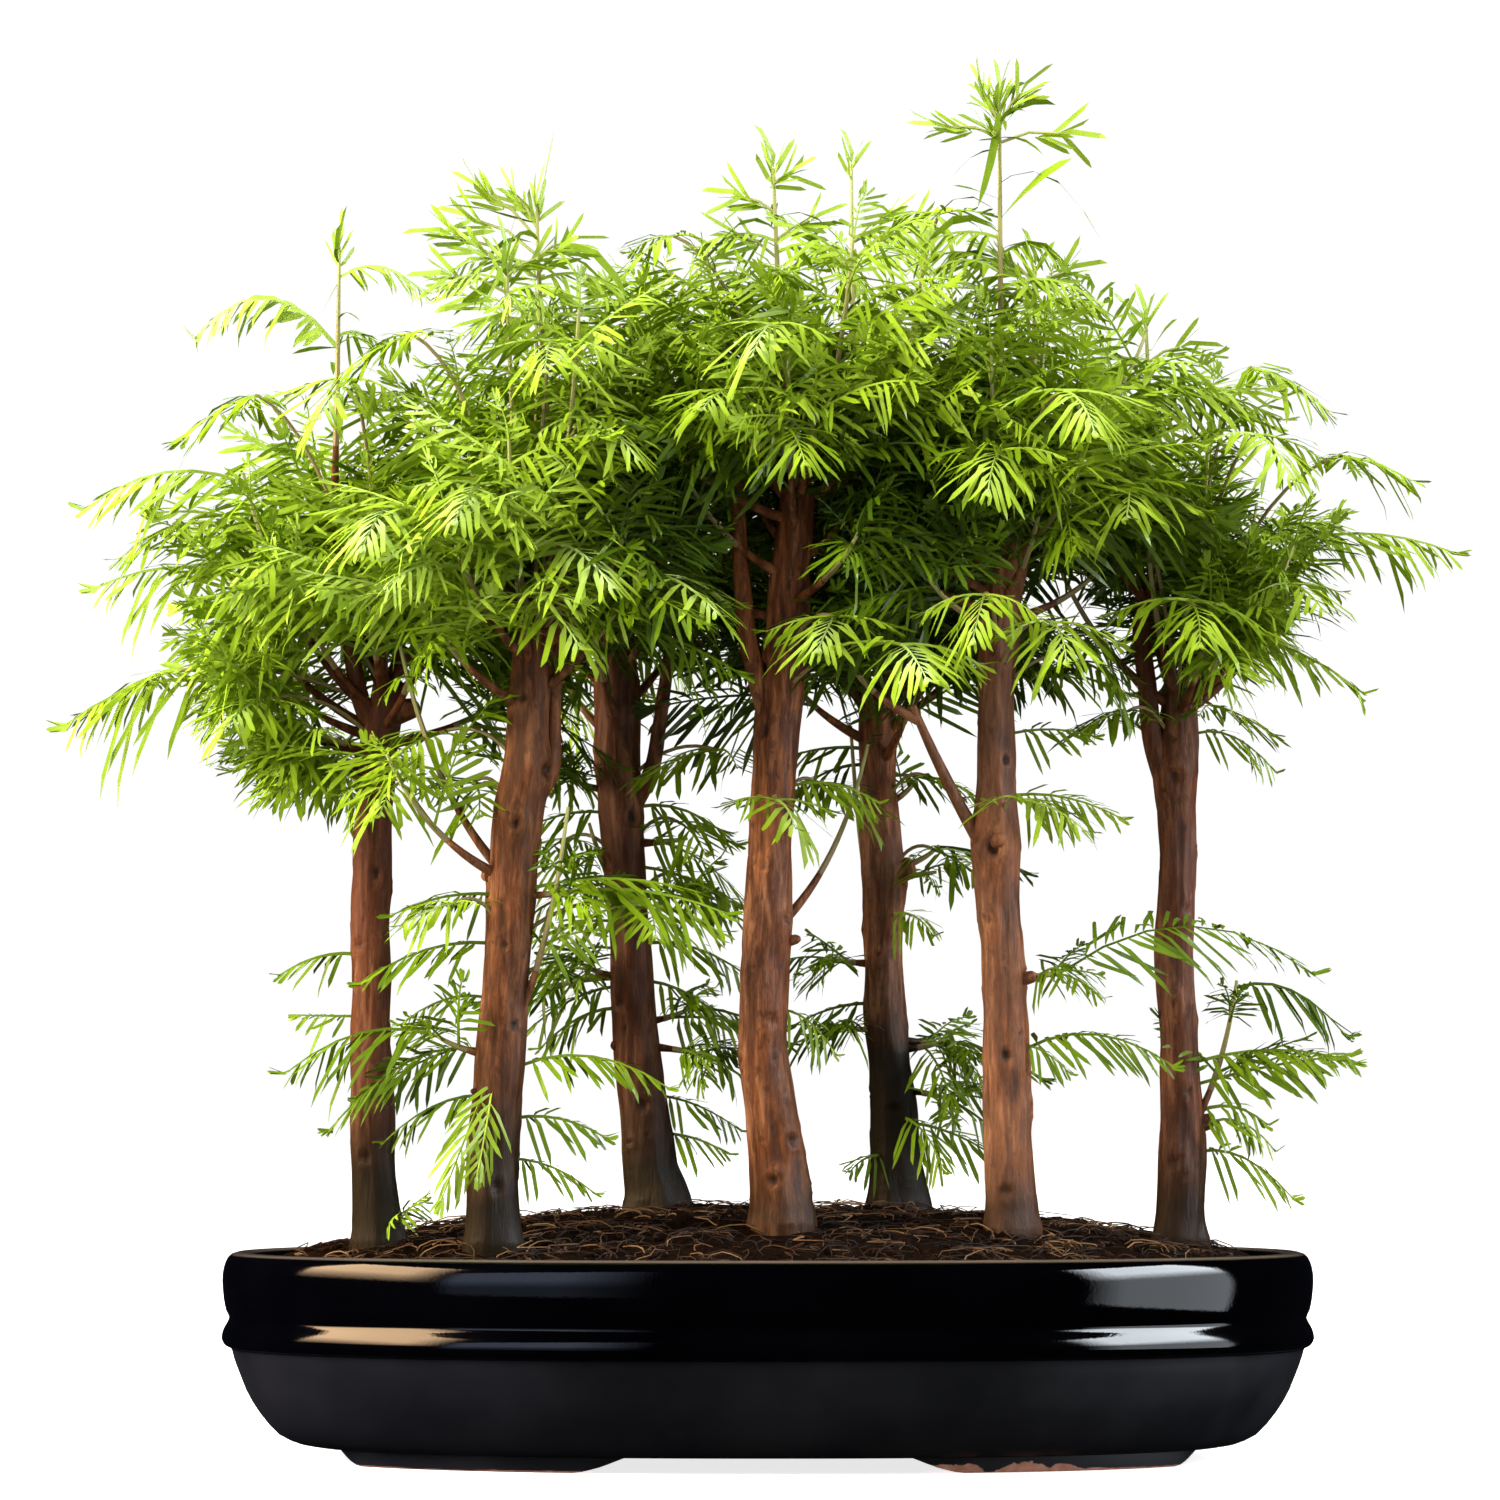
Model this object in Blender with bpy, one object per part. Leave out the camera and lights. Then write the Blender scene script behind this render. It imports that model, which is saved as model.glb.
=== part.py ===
"""A dawn redwood forest: seven trees in a mound of soil in an oval glazed tray.

Metres, +Z up. X runs along the tray and -Y is its front. The last step moves the whole so that
the origin is the bottom centre of its bounding box.
The tray, the two drain screens, the soil and each tree's wood are one object each. Every leafy
spray is an object of its own, and starts 0.3 mm past the end of the twig that carries it.
The trees' tables hold x and height as the photograph shows them, and true_spot moves them to
their true place, because what stands nearer to the camera looks larger.
"""

import math
import random

import bmesh
import bpy
from mathutils import Vector
from mathutils.bvhtree import BVHTree

MM = 0.001
UP = Vector((0, 0, 1))
GAP = 0.3 * MM

# The camera that the tables were measured through: how far it is in front of y = 0, how high, and its x
CAMERA_DISTANCE = 2.4
CAMERA_HEIGHT = 0.134
CAMERA_X = -0.0063

# The tray
TRAY_LENGTH = 390 * MM
TRAY_DEPTH = 290 * MM
TRAY_SQUARENESS = 2.3  # 2 is an ellipse
TRAY_SIDES = 36
FLOOR_TOP = 16 * MM
# Inset from the widest outline and height, in mm, from the outer bottom edge up, over the rim and down inside
OUTER_PROFILE = [
    (34, 10), (24.2, 11.6), (16.2, 18), (8.8, 29.3), (3.4, 42.6), (0.2, 46), (0.4, 49.6), (2.6, 53.2), (0.6, 63),
    (0.3, 70.2), (2.2, 76.3), (5, 77.9),
]
INNER_PROFILE = [(10.6, 77.9), (13.5, 71), (16, 40), (30, 16)]
FOOT_BOTTOM = 4.8 * MM
FOOT_TOP = 13 * MM  # inside the tray's body
FOOT_END_TOP = 12 * MM  # where its underside has risen to at both ends
FOOT_FLAT_SHARE = 0.64  # of its half span
FOOT_TAPER = 0.75 * MM
FOOT_MIDDLE_DEG = 52.5  # from the tray's long axis
FOOT_HALF_SPAN_DEG = 27.5
FOOT_INSET = (29.6 * MM, 46.4 * MM)
FOOT_STEPS = 8
DRAIN_RADIUS = 9 * MM
DRAIN_OFFSET = 62 * MM
SCREEN_SIDE = 38 * MM
SCREEN_THICKNESS = 1 * MM
SCREEN_HOLE = 7 * MM
SCREEN_HOLE_OFFSET = 5 * MM

# The soil
SOIL_EDGE_HEIGHT = 73 * MM
SOIL_RISE = 19.5 * MM
SOIL_TILT = 0.45  # how much higher the mound is at the back
SOIL_ROUNDNESS = 0.6  # under 1, the mound is steep at its edge and flat at its top
SOIL_RIPPLE = 1.5 * MM
SOIL_RINGS = (1.0, 0.74, 0.44)
SOIL_INSET = 0.45 * MM
LIP_WIDTH = 13 * MM
HOLE_SIDES = 12

# The trees: where each stands, its trunk as (height, x, radius) and its limbs as (height, x, y from the trunk,
# radius), all in mm. A trunk's first point is moved to the soil, and a limb starts inside the trunk.
TREES = {
    "tree_1": {
        "y": -35,
        "trunk": [(84, -139.4, 9.0), (116, -141.8, 8.2), (152, -142.5, 7.5), (190, -142.5, 7.0), (226, -142, 7.1),
                  (252, -141, 7.2), (270, -138, 6.8), (282, -137, 5.8)],
        "limbs": [[(262, -141, 0, 3.6), (278, -147, -2, 3.4), (297, -150.5, -3, 3.0), (312, -154.5, -2, 2.6),
                   (338, -157, 4, 2.0)]],
    },
    "tree_2": {
        "y": -72,
        "trunk": [(82, -98, 10.2), (116, -98.4, 9.3), (160, -94.7, 8.4), (205, -92, 8.8), (232, -90, 8.6),
                  (250, -87, 8.6), (270, -86, 7.6), (301, -84, 7.0)],
        "limbs": [[(240, -84, 2, 4.0), (252, -78, 2, 3.6), (276, -77.4, 2, 3.2), (300, -76, 3, 2.8), (334, -74, 6, 2.2)]],
    },
    "tree_3": {
        "y": 55,
        "trunk": [(96, -40, 12.0), (108, -42.2, 10.2), (125, -43.8, 9.3), (160, -48, 8.2), (205, -50.5, 7.9),
                  (250, -53.7, 8.2), (277, -54, 8.4), (304, -54.8, 6.8)],
        "limbs": [[(234, -50, 0, 3.4), (250, -42, -3, 3.0), (269, -38.6, -5, 2.7), (296, -35, -6, 2.2)]],
    },
    "tree_4": {
        "y": -48,
        "trunk": [(88, 5.6, 11.0), (107, 4.3, 10.2), (125, 1.8, 9.5), (151, -1.6, 9.0), (187, -0.2, 8.8),
                  (223, 1.1, 7.9), (277, 4.5, 8.8), (313, 7.7, 7.8), (352, 11.7, 6.4)],
        "limbs": [[(270, 0, -1, 3.8), (297, -7, -3, 3.4), (320, -9.2, -4, 3.1), (344, -10.6, -4, 2.8), (374, -12, -3, 2.2)]],
    },
    "tree_5": {
        "y": 62,
        "trunk": [(96, 46.9, 11.2), (115, 45.8, 9.4), (133, 45, 9.0), (160, 42.6, 8.0), (187, 41.5, 7.6),
                  (214, 41.5, 8.2), (241, 39.7, 7.2), (276, 39.3, 7.4)],
        "limbs": [[(262, 37, 2, 3.2), (290, 33, 5, 2.8), (330, 32, 8, 2.2)]],
    },
    "tree_6": {
        "y": -40,
        "trunk": [(87, 87.2, 9.8), (115, 86.3, 8.9), (151, 85.4, 8.5), (187, 84.3, 7.9), (222, 82.1, 9.0),
                  (248, 82.5, 7.2), (277, 82.1, 6.9), (306, 84, 7.0), (334, 85, 5.4)],
        "limbs": [[(310, 87, 1, 3.8), (330, 92, 2, 3.2), (352, 94, 3, 2.5), (376, 95, 4, 2.0)],
                  [(222, 78, 0, 2.8), (240, 68, -4, 2.2), (256, 60, -7, 1.9), (274, 52, -9, 1.6)]],
    },
    "tree_7": {
        "y": 0,
        "trunk": [(85, 147.9, 9.4), (115, 148.6, 8.5), (151, 147.7, 7.5), (187, 146.6, 7.0), (223, 147.2, 7.0),
                  (250, 146.8, 8.2), (262, 147.5, 7.3), (279, 147.9, 6.4)],
        "limbs": [[(244, 144, -1, 4.4), (262, 138.6, -2, 4.0), (282, 136.6, -2, 3.6), (305, 134.6, -1, 3.2),
                   (326, 140.5, 2, 2.7), (348, 143.5, 4, 2.2)]],
    },
}
# Each tree's sprays: the stem that carries it (0 is the trunk, 1 the first limb), the height where its twig leaves,
# azimuth in degrees (0 is +X, 270 the front), how far out and how far up its shoot ends, and the length of its
# longest fronds, all in mm
SPRAYS = {
    "tree_1": [(0, 254, 186, 55, 26, 60), (0, 262, 160, 60, 61, 64), (0, 266, 188, 50, 88, 62), (1, 318, 98, 50, 34, 61),
               (0, 274, 266, 50, 40, 62), (0, 278, 345, 34, 92, 58), (1, 332, 20, 2, 101, 40)],
    "tree_2": [(0, 208, 172, 42, 92, 58), (0, 208, 200, 46, 44, 58), (1, 326, 186, 9, 118, 40), (0, 288, 312, 50, 40, 64),
               (0, 284, 236, 50, 50, 64), (1, 312, 100, 50, 70, 64), (0, 203, 350, 23, 2, 42), (0, 147, 190, 23, 8, 36)],
    "tree_3": [(1, 290, 30, 30, 34, 64), (0, 290, 92, 48, 44, 65), (0, 296, 160, 48, 66, 64), (0, 300, 345, 18, 134, 52),
               (0, 176, 188, 21, 8, 34), (0, 160, 12, 21, 6, 34)],
    "tree_4": [(1, 366, 170, 34, 40, 61), (0, 336, 210, 52, 26, 64), (0, 340, 118, 52, 60, 64), (0, 340, 48, 48, 60, 64),
               (0, 344, 345, 50, 36, 64), (0, 344, 276, 48, 28, 64), (0, 345, 180, 9, 114, 38)],
    "tree_5": [(0, 270, 108, 56, 60, 67), (0, 272, 62, 40, 112, 61), (0, 268, 12, 46, 50, 64), (0, 254, 300, 36, 50, 61),
               (1, 328, 200, 2, 150, 40), (0, 216, 8, 21, 10, 32), (0, 150, 350, 21, 4, 34)],
    "tree_6": [(2, 266, 186, 30, 30, 61), (0, 310, 188, 52, 50, 64), (0, 322, 300, 50, 30, 64), (1, 356, 22, 46, 50, 64),
               (0, 326, 100, 52, 64, 64), (0, 329, 180, 1, 157, 40), (0, 175, 354, 20, 2, 34)],
    "tree_7": [(1, 342, 190, 6, 67, 36), (0, 270, 8, 50, 68, 64), (0, 268, 336, 18, 34, 64), (0, 272, 300, 40, 42, 64),
               (0, 270, 78, 50, 60, 65), (1, 312, 236, 44, 40, 62), (0, 117, 355, 20, 58, 36)],
}
# The frond at a shoot's end where it isn't in line with the shoot: azimuth, steepness, length in mm, droop, roll and
# how far its two rows of leaflets fold down
TIPS = {
    "tree_1": {1: (182, 0.3, 58, 0.5, 0.2, 0.9), 2: (183, 0.28, 50, 0.36, 0.2, 0.7), 3: (182, 0.45, 62, 0.55, 0.2, 0.8)},
    "tree_2": {7: (352, 0.12, 54, 0.22, 0.3, 0.5), 8: (184, 0.34, 54, 0.5, 0.3, 0.7)},
    "tree_3": {5: (188, 0.05, 34, 0.5, 0.3, 0.7), 6: (0, 0.1, 36, 0.45, -0.3, 0.7)},
    "tree_5": {6: (358, 0.0, 32, 0.3, 0.3, 0.6), 7: (350, -0.05, 36, 0.3, 0.3, 0.6)},
    "tree_6": {7: (356, 0.72, 116, 0.64, 0.9, 0.2)},
    "tree_7": {2: (2, 0.2, 52, 0.28, 0.2, 0.5), 3: (354, 0.3, 30, 0.7, 0.3, 0.9), 7: (350, 0.35, 42, 0.75, 0.3, 0.6)},
}
# Each tree's leader: the number of its spray, and its fronds as height, azimuth, steepness, length in mm and droop
LEADERS = {
    "tree_1": (7, [(425, 0, 0.72, 40, 0.79), (400, 180, 1.34, 86, 0.77), (404, 60, 0.5, 26, 0.5)]),
    "tree_2": (3, [(424, 190, 0.5, 34, 0.5), (420, 350, 0.4, 36, 0.6), (412, 270, 0.3, 34, 0.5)]),
    "tree_4": (7, [(436, 200, 0.4, 32, 0.5), (432, 340, 0.5, 34, 0.6), (424, 90, 0.4, 36, 0.5)]),
    "tree_5": (5, [(452, 10, 0.5, 34, 0.6), (446, 190, 0.4, 32, 0.6), (442, 350, 0.5, 40, 0.6)]),
    "tree_6": (6, [(432, 20, 0.8, 34, 0.7), (426, 200, 0.6, 34, 0.6), (420, 350, 0.5, 40, 0.6)]),
    "tree_7": (1, [(392, 180, 0.4, 30, 0.5), (390, 10, 0.4, 36, 0.5), (386, 270, 0.3, 34, 0.5)]),
}
# The crown's outline, x and height in mm as the photograph shows them, and how far front and back its fronds reach
CROWN_OUTLINE = [
    (-146, 228), (-174, 236), (-204, 248), (-210, 266), (-204, 284), (-214, 292), (-216, 306), (-208, 318),
    (-224, 328), (-222, 344), (-204, 352), (-186, 360), (-194, 380), (-180, 396), (-152, 404), (-128, 414),
    (-118, 434), (-100, 440), (-66, 432), (-44, 440), (-24, 448), (0, 450), (18, 452), (34, 464),
    (54, 464), (64, 452), (78, 440), (98, 442), (108, 432), (114, 412), (124, 400), (162, 403), (184, 393),
    (198, 381), (180, 364), (198, 358), (222, 358), (208, 340), (202, 320), (196, 308), (188, 298),
    (176, 284), (160, 278), (120, 268), (60, 266), (20, 262), (-10, 256), (-60, 248), (-110, 236),
]
CROWN_HALF_DEPTH = 150 * MM
CROWN_BOTTOM = 215 * MM  # a frond that starts lower isn't held inside the outline
BURIED_DEPTH = 22 * MM
TRUNK_BEVEL = 2  # eight sides
LIMB_BEVEL = 1  # six sides
TWIG_BEVEL = 0  # four sides
WOOD_SHARE = 0.42  # of a shoot's path, from the trunk out
TWIG_RADIUS = (2.2 * MM, 1.2 * MM)
SHOOT_RADIUS = (1.2 * MM, 0.7 * MM)
TWIG_STEPS = 2
SHOOT_STEPS = 2
SHOOT_BEND = (0.7, 0.3)  # of its reach and of its rise, where the curve turns up

# The fronds
CROWN_FROM = 230 * MM  # a shoot that starts lower carries fewer fronds
FROND_PAIRS = 7
FROND_PAIRS_LOW = 2
LAST_FROND_SHARE = 0.97  # of the shoot's path
FROND_THICKNESS = 0.7 * MM
FROND_CLEARANCE = 0.8 * MM
RIB_HALF_WIDTH = 1.1 * MM
LEAFLET_LENGTH = 23 * MM
FULL_LEAFLETS_FROM = 58 * MM  # a shorter frond has shorter leaflets
LEAFLET_PITCH = 20 * MM  # coarser than the real 4 mm
LEAFLET_PAIRS = (3, 6)
ROOT_SHARE = 0.10  # of a frond's rib, bare at its root
LEAFLETS_END_SHARE = 0.93
FALL = 9  # how fast the leaflets curve down away from the rib
LEADER_FOLD = 0.6
LEADER_TUFT = 22 * MM
SHORTENINGS = 7
SHORTENING = 0.88
FRONDS_IN_SPRAY = 3
FRONDS_IN_BACK_SPRAY = 2  # on the two trees that stand behind the others
BACK_TREES = ("tree_3", "tree_5")


def true_spot(x, height, y):
    """The place, in metres, of what the photograph shows at x and height when it stands at y, all in mm."""
    near = 1 + y * MM / CAMERA_DISTANCE
    return Vector((CAMERA_X + (x * MM - CAMERA_X) * near, y * MM, CAMERA_HEIGHT + (height * MM - CAMERA_HEIGHT) * near))


def material(name, colour, roughness):
    made = bpy.data.materials.new(name)
    made.use_nodes = True
    shader = made.node_tree.nodes["Principled BSDF"]
    shader.inputs["Base Color"].default_value = (*colour, 1)
    shader.inputs["Roughness"].default_value = roughness
    return made


def new_object(name, mesh, collection):
    made = bpy.data.objects.new(name, mesh)
    collection.objects.link(made)
    return made


def mesh_of(bm, name):
    """A mesh from the closed bmesh, its faces turned outwards."""
    bmesh.ops.recalc_face_normals(bm, faces=bm.faces)
    if bm.calc_volume(signed=True) < 0:
        bmesh.ops.reverse_faces(bm, faces=bm.faces)
    mesh = bpy.data.meshes.new(name)
    bm.to_mesh(mesh)
    bm.free()
    return mesh


def evaluated_mesh(obj):
    """The object's mesh with its modifiers applied."""
    bpy.context.view_layer.update()
    return bpy.data.meshes.new_from_object(obj.evaluated_get(bpy.context.evaluated_depsgraph_get()))


def combined(base, others, operation, solver):
    """base after one Boolean with all the other objects, which are then removed."""
    if not others:
        return base
    helpers = bpy.data.collections.new("helpers")
    bpy.context.scene.collection.children.link(helpers)
    for other in others:
        for home in list(other.users_collection):
            home.objects.unlink(other)
        helpers.objects.link(other)
    boolean = base.modifiers.new("boolean", "BOOLEAN")
    boolean.operation = operation
    boolean.operand_type = "COLLECTION"
    boolean.collection = helpers
    boolean.solver = solver
    mesh = evaluated_mesh(base)
    base.modifiers.clear()
    base.data = mesh
    for other in others:
        bpy.data.objects.remove(other)
    bpy.data.collections.remove(helpers)
    return base


def joined(base, others):
    return combined(base, others, "UNION", "MANIFOLD")


def cut(base, cutters):
    return combined(base, cutters, "DIFFERENCE", "EXACT")


def tube(name, points, radii, bevel, collection):
    """A capped tube through the points, with a radius for each."""
    curve = bpy.data.curves.new(name, "CURVE")
    curve.dimensions = "3D"
    curve.bevel_depth = 1
    curve.bevel_resolution = bevel
    curve.use_fill_caps = True
    spline = curve.splines.new("POLY")
    spline.points.add(len(points) - 1)
    for spot, point, radius in zip(spline.points, points, radii):
        spot.co = (*point, 1)
        spot.radius = radius
    drawn = new_object(name, curve, collection)
    bm = bmesh.new()
    bm.from_mesh(evaluated_mesh(drawn))
    bmesh.ops.remove_doubles(bm, verts=bm.verts, dist=0.01 * MM)
    made = new_object(name, mesh_of(bm, name), collection)
    bpy.data.objects.remove(drawn)
    made.name = name
    return made


def between(ends, steps):
    """Values in even steps from the first end to the second."""
    return [ends[0] + (ends[1] - ends[0]) * k / steps for k in range(steps + 1)]


def oval(angle, inset):
    """The point of the tray's outline at that angle, moved inwards by inset, at z = 0."""
    power = TRAY_SQUARENESS
    along, across = math.cos(angle), math.sin(angle)
    x = math.copysign(abs(along) ** (2 / power), along)
    y = math.copysign(abs(across) ** (2 / power), across)
    outward = Vector((math.copysign(abs(x) ** (power - 1), x) * 2 / TRAY_LENGTH,
                      math.copysign(abs(y) ** (power - 1), y) * 2 / TRAY_DEPTH, 0)).normalized()
    return Vector((x * TRAY_LENGTH / 2, y * TRAY_DEPTH / 2, 0)) - outward * inset


def oval_shell(profile):
    """A closed bmesh spun from (inset, height) in metres and drawn into the tray's oval, ends filled flat."""
    bm = bmesh.new()
    line = [bm.verts.new((TRAY_LENGTH / 2 - inset, 0, height)) for inset, height in profile]
    edges = [bm.edges.new(pair) for pair in zip(line, line[1:])]
    bmesh.ops.spin(bm, geom=line + edges, axis=UP, cent=(0, 0, 0), angle=2 * math.pi, steps=TRAY_SIDES,
                   use_merge=True)
    bmesh.ops.remove_doubles(bm, verts=bm.verts, dist=0.01 * MM)
    for vert in bm.verts:
        inset = TRAY_LENGTH / 2 - math.hypot(vert.co.x, vert.co.y)
        spot = oval(math.atan2(vert.co.y, vert.co.x), inset)
        vert.co = (spot.x, spot.y, vert.co.z)
    bmesh.ops.holes_fill(bm, edges=bm.edges, sides=0)
    return bm


def foot(name, middle, collection):
    """One foot: an arc of the oval whose underside rises to the tray at both ends."""
    bm = bmesh.new()
    bmesh.ops.create_cube(bm, size=2)
    lengthwise = [e for e in bm.edges if abs(e.verts[0].co.x - e.verts[1].co.x) > 1]
    bmesh.ops.subdivide_edges(bm, edges=lengthwise, cuts=FOOT_STEPS - 1, use_grid_fill=True)
    for vert in bm.verts:
        share = vert.co.x
        lift = max(0, (abs(share) - FOOT_FLAT_SHARE) / (1 - FOOT_FLAT_SHARE))
        low = FOOT_BOTTOM + (FOOT_END_TOP - FOOT_BOTTOM) * lift * lift * (3 - 2 * lift)
        inset = FOOT_INSET[0] if vert.co.y < 0 else FOOT_INSET[1]
        if vert.co.z < 0:
            inset += math.copysign(FOOT_TAPER, -vert.co.y)
        spot = oval(math.radians(middle + share * FOOT_HALF_SPAN_DEG), inset)
        vert.co = (spot.x, spot.y, low if vert.co.z < 0 else FOOT_TOP)
    return new_object(name, mesh_of(bm, name), collection)


def box(name, size, middle, collection):
    bpy.ops.mesh.primitive_cube_add(size=1)
    made = bpy.context.object
    made.name = name
    made.data.transform(made.matrix_world)
    for vert in made.data.vertices:
        vert.co = Vector(middle) + Vector(c * s for c, s in zip(vert.co, size))
    for home in list(made.users_collection):
        home.objects.unlink(made)
    collection.objects.link(made)
    return made


def cylinder(name, radius, low, high, x, y, sides, collection):
    bm = bmesh.new()
    bmesh.ops.create_cone(bm, cap_ends=True, segments=sides, radius1=radius, radius2=radius, depth=high - low)
    bmesh.ops.translate(bm, verts=bm.verts, vec=(x, y, (low + high) / 2))
    return new_object(name, mesh_of(bm, name), collection)


def tray(collection, glaze):
    profile = [(inset * MM, height * MM) for inset, height in OUTER_PROFILE + INNER_PROFILE]
    body = new_object("tray", mesh_of(oval_shell(profile), "tray"), collection)
    body.data.materials.append(glaze)
    feet = [foot(f"foot_{i}", middle, collection)
            for i, middle in enumerate((FOOT_MIDDLE_DEG, 180 - FOOT_MIDDLE_DEG, 180 + FOOT_MIDDLE_DEG,
                                        -FOOT_MIDDLE_DEG))]
    joined(body, feet)
    drains = [cylinder(f"drain_cutter_{side}", DRAIN_RADIUS, 0, 2 * FLOOR_TOP, side * DRAIN_OFFSET, 0, 12,
                       collection) for side in (-1, 1)]
    return cut(body, drains)


def screen(name, x, collection, plastic):
    """A drain screen: a square plate with four square holes, lying over one drain."""
    plate = box(name, (SCREEN_SIDE, SCREEN_SIDE, SCREEN_THICKNESS),
                (x, 0, FLOOR_TOP + GAP + SCREEN_THICKNESS / 2), collection)
    plate.data.materials.append(plastic)
    offset = SCREEN_HOLE_OFFSET
    holes = [box(f"{name}_cutter_{i}_{j}", (SCREEN_HOLE, SCREEN_HOLE, 4 * SCREEN_THICKNESS),
                 (x + i * offset, j * offset, FLOOR_TOP), collection)
             for i in (-1, 1) for j in (-1, 1)]
    return cut(plate, holes)


def soil_height(x, y):
    """How high the soil lies at that place."""
    inner_length, inner_depth = TRAY_LENGTH / 2 - LIP_WIDTH, TRAY_DEPTH / 2 - LIP_WIDTH
    room = max(0, 1 - (x / inner_length) ** 2 - (y / inner_depth) ** 2)
    ripple = math.sin(x * 90 + 1) * math.sin(y * 110) * SOIL_RIPPLE
    return SOIL_EDGE_HEIGHT + room ** SOIL_ROUNDNESS * (SOIL_RISE * (1 + SOIL_TILT * y / inner_depth) + ripple)


def soil(collection, earth):
    """The soil body, drawn from the tray's inner profile, with its mound, trunk holes and screen recesses."""
    inner = [(inset * MM + SOIL_INSET, height * MM) for inset, height in INNER_PROFILE[1:]]
    inner[0] = (inner[0][0], SOIL_EDGE_HEIGHT)
    inner[-1] = (inner[-1][0], FLOOR_TOP + GAP)
    bm = oval_shell(inner)
    top = max(bm.faces, key=lambda face: (len(face.verts) > 4, face.calc_center_median().z))
    for share in SOIL_RINGS[1:]:
        shrink = share / SOIL_RINGS[SOIL_RINGS.index(share) - 1]
        bmesh.ops.inset_region(bm, faces=[top], thickness=0.0001, use_even_offset=False)
        bmesh.ops.scale(bm, vec=(shrink, shrink, 1), verts=top.verts)
    centre = bmesh.ops.poke(bm, faces=[top])["verts"][0]
    centre.co.x = centre.co.y = 0
    for vert in bm.verts:
        if vert.co.z > SOIL_EDGE_HEIGHT - MM:
            vert.co.z = soil_height(vert.co.x, vert.co.y)
    bmesh.ops.triangulate(bm, faces=bm.faces)
    body = new_object("soil", mesh_of(bm, "soil"), collection)
    body.data.materials.append(earth)
    cutters = []
    for name, tree in TREES.items():
        base = trunk_points(tree)[0]
        radius = tree["trunk"][0][2] * MM
        hole = (radius + GAP) / math.cos(math.pi / HOLE_SIDES)
        cutters.append(cylinder(f"{name}_hole", hole, base.z - BURIED_DEPTH - GAP, base.z + 10 * MM, base.x,
                                base.y, HOLE_SIDES, collection))
    room = SCREEN_SIDE + 2 * GAP
    for side in (-1, 1):
        cutters.append(box(f"screen_recess_{side}", (room, room, 2 * (SCREEN_THICKNESS + GAP)),
                           (side * DRAIN_OFFSET, 0, FLOOR_TOP + GAP), collection))
    return cut(body, cutters)


def trunk_points(tree):
    """The trunk's axis from just above the soil, where its straight foot ends, to its top."""
    points = [true_spot(x, height, tree["y"]) for height, x, _ in tree["trunk"]]
    points[0].z = soil_height(points[0].x, points[0].y) + 3 * MM
    return points


def limb_points(tree, limb):
    return [true_spot(x, height, tree["y"] + y) for height, x, y, _ in tree["limbs"][limb]]


def on_stem(tree, stem, height):
    """The point at that height on the axis of the trunk, which is stem 0, or of a limb."""
    points = limb_points(tree, stem - 1) if stem else trunk_points(tree)
    for low, high in zip(points, points[1:]):
        if height <= high.z:
            return low.lerp(high, (height - low.z) / (high.z - low.z))
    return points[-1]


class Shoot:
    """The curve of one twig and its green shoot, from its stem's axis to the shoot's end."""

    def __init__(self, tree, spray):
        stem, leave, azimuth, reach, rise, self.frond_length = spray
        outward = Vector((math.cos(math.radians(azimuth)), math.sin(math.radians(azimuth)), 0))
        self.start = on_stem(tree, stem, leave * MM)
        self.bend = self.start + outward * reach * SHOOT_BEND[0] * MM + UP * rise * SHOOT_BEND[1] * MM
        self.end = self.start + outward * reach * MM + UP * rise * MM

    def at(self, share):
        return self.start.lerp(self.bend, share).lerp(self.bend.lerp(self.end, share), share)

    def along(self, share):
        return (self.bend - self.start).lerp(self.end - self.bend, share).normalized()


def aimed(azimuth, rise):
    """The direction at that azimuth in degrees that climbs by rise for each unit out."""
    way = math.radians(azimuth)
    return (Vector((math.cos(way), math.sin(way), 0)) + UP * rise).normalized()


def end_frond(shoot, tip):
    if tip:
        azimuth, rise, length, droop, roll, fold = tip
        return shoot.at(LAST_FROND_SHARE), aimed(azimuth, rise), length * MM, droop, roll, fold
    along = shoot.along(1)
    length = (0.85 - 0.4 * max(0, along.z)) * shoot.frond_length * MM
    return shoot.at(LAST_FROND_SHARE), along, length, 0.30, 0.0, 0.3


def fronds_of(shoot, seed, tip):
    """Every frond of a shoot as (root, direction, length, droop, roll, fold), the end one first."""
    draw = random.Random(seed)
    found = [end_frond(shoot, tip)]
    pairs = FROND_PAIRS if shoot.start.z > CROWN_FROM else FROND_PAIRS_LOW
    for pair in range(pairs):
        share = LAST_FROND_SHARE - (LAST_FROND_SHARE - WOOD_SHARE) * (pair + 0.6) / pairs
        along = shoot.along(share)
        level = along.cross(UP).normalized() if abs(along.z) < 0.98 else Vector((1, 0, 0))
        turn = math.radians(90 * (pair % 2) * abs(along.z) + draw.uniform(-20, 20))
        for side in (-1, 1):
            outward = level * math.cos(turn) * side + along.cross(level) * math.sin(turn) * side
            lean = draw.uniform(0.35, 0.75)
            length = shoot.frond_length * MM * (0.72 + 0.34 * (pair + 1) / pairs) * draw.uniform(0.85, 1.1)
            direction = (outward + along * lean + UP * draw.uniform(0.1, 0.5)).normalized()
            found.append((shoot.at(share), direction, length, draw.uniform(0.12, 0.45), draw.uniform(-0.6, 0.6),
                          draw.uniform(0.1, 0.6)))
    return found


def share_at(shoot, height):
    """How far along its path the shoot is at that height."""
    low, high = 0.0, 1.0
    for _ in range(12):
        middle = (low + high) / 2
        if shoot.at(middle).z < height:
            low = middle
        else:
            high = middle
    return low


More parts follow.
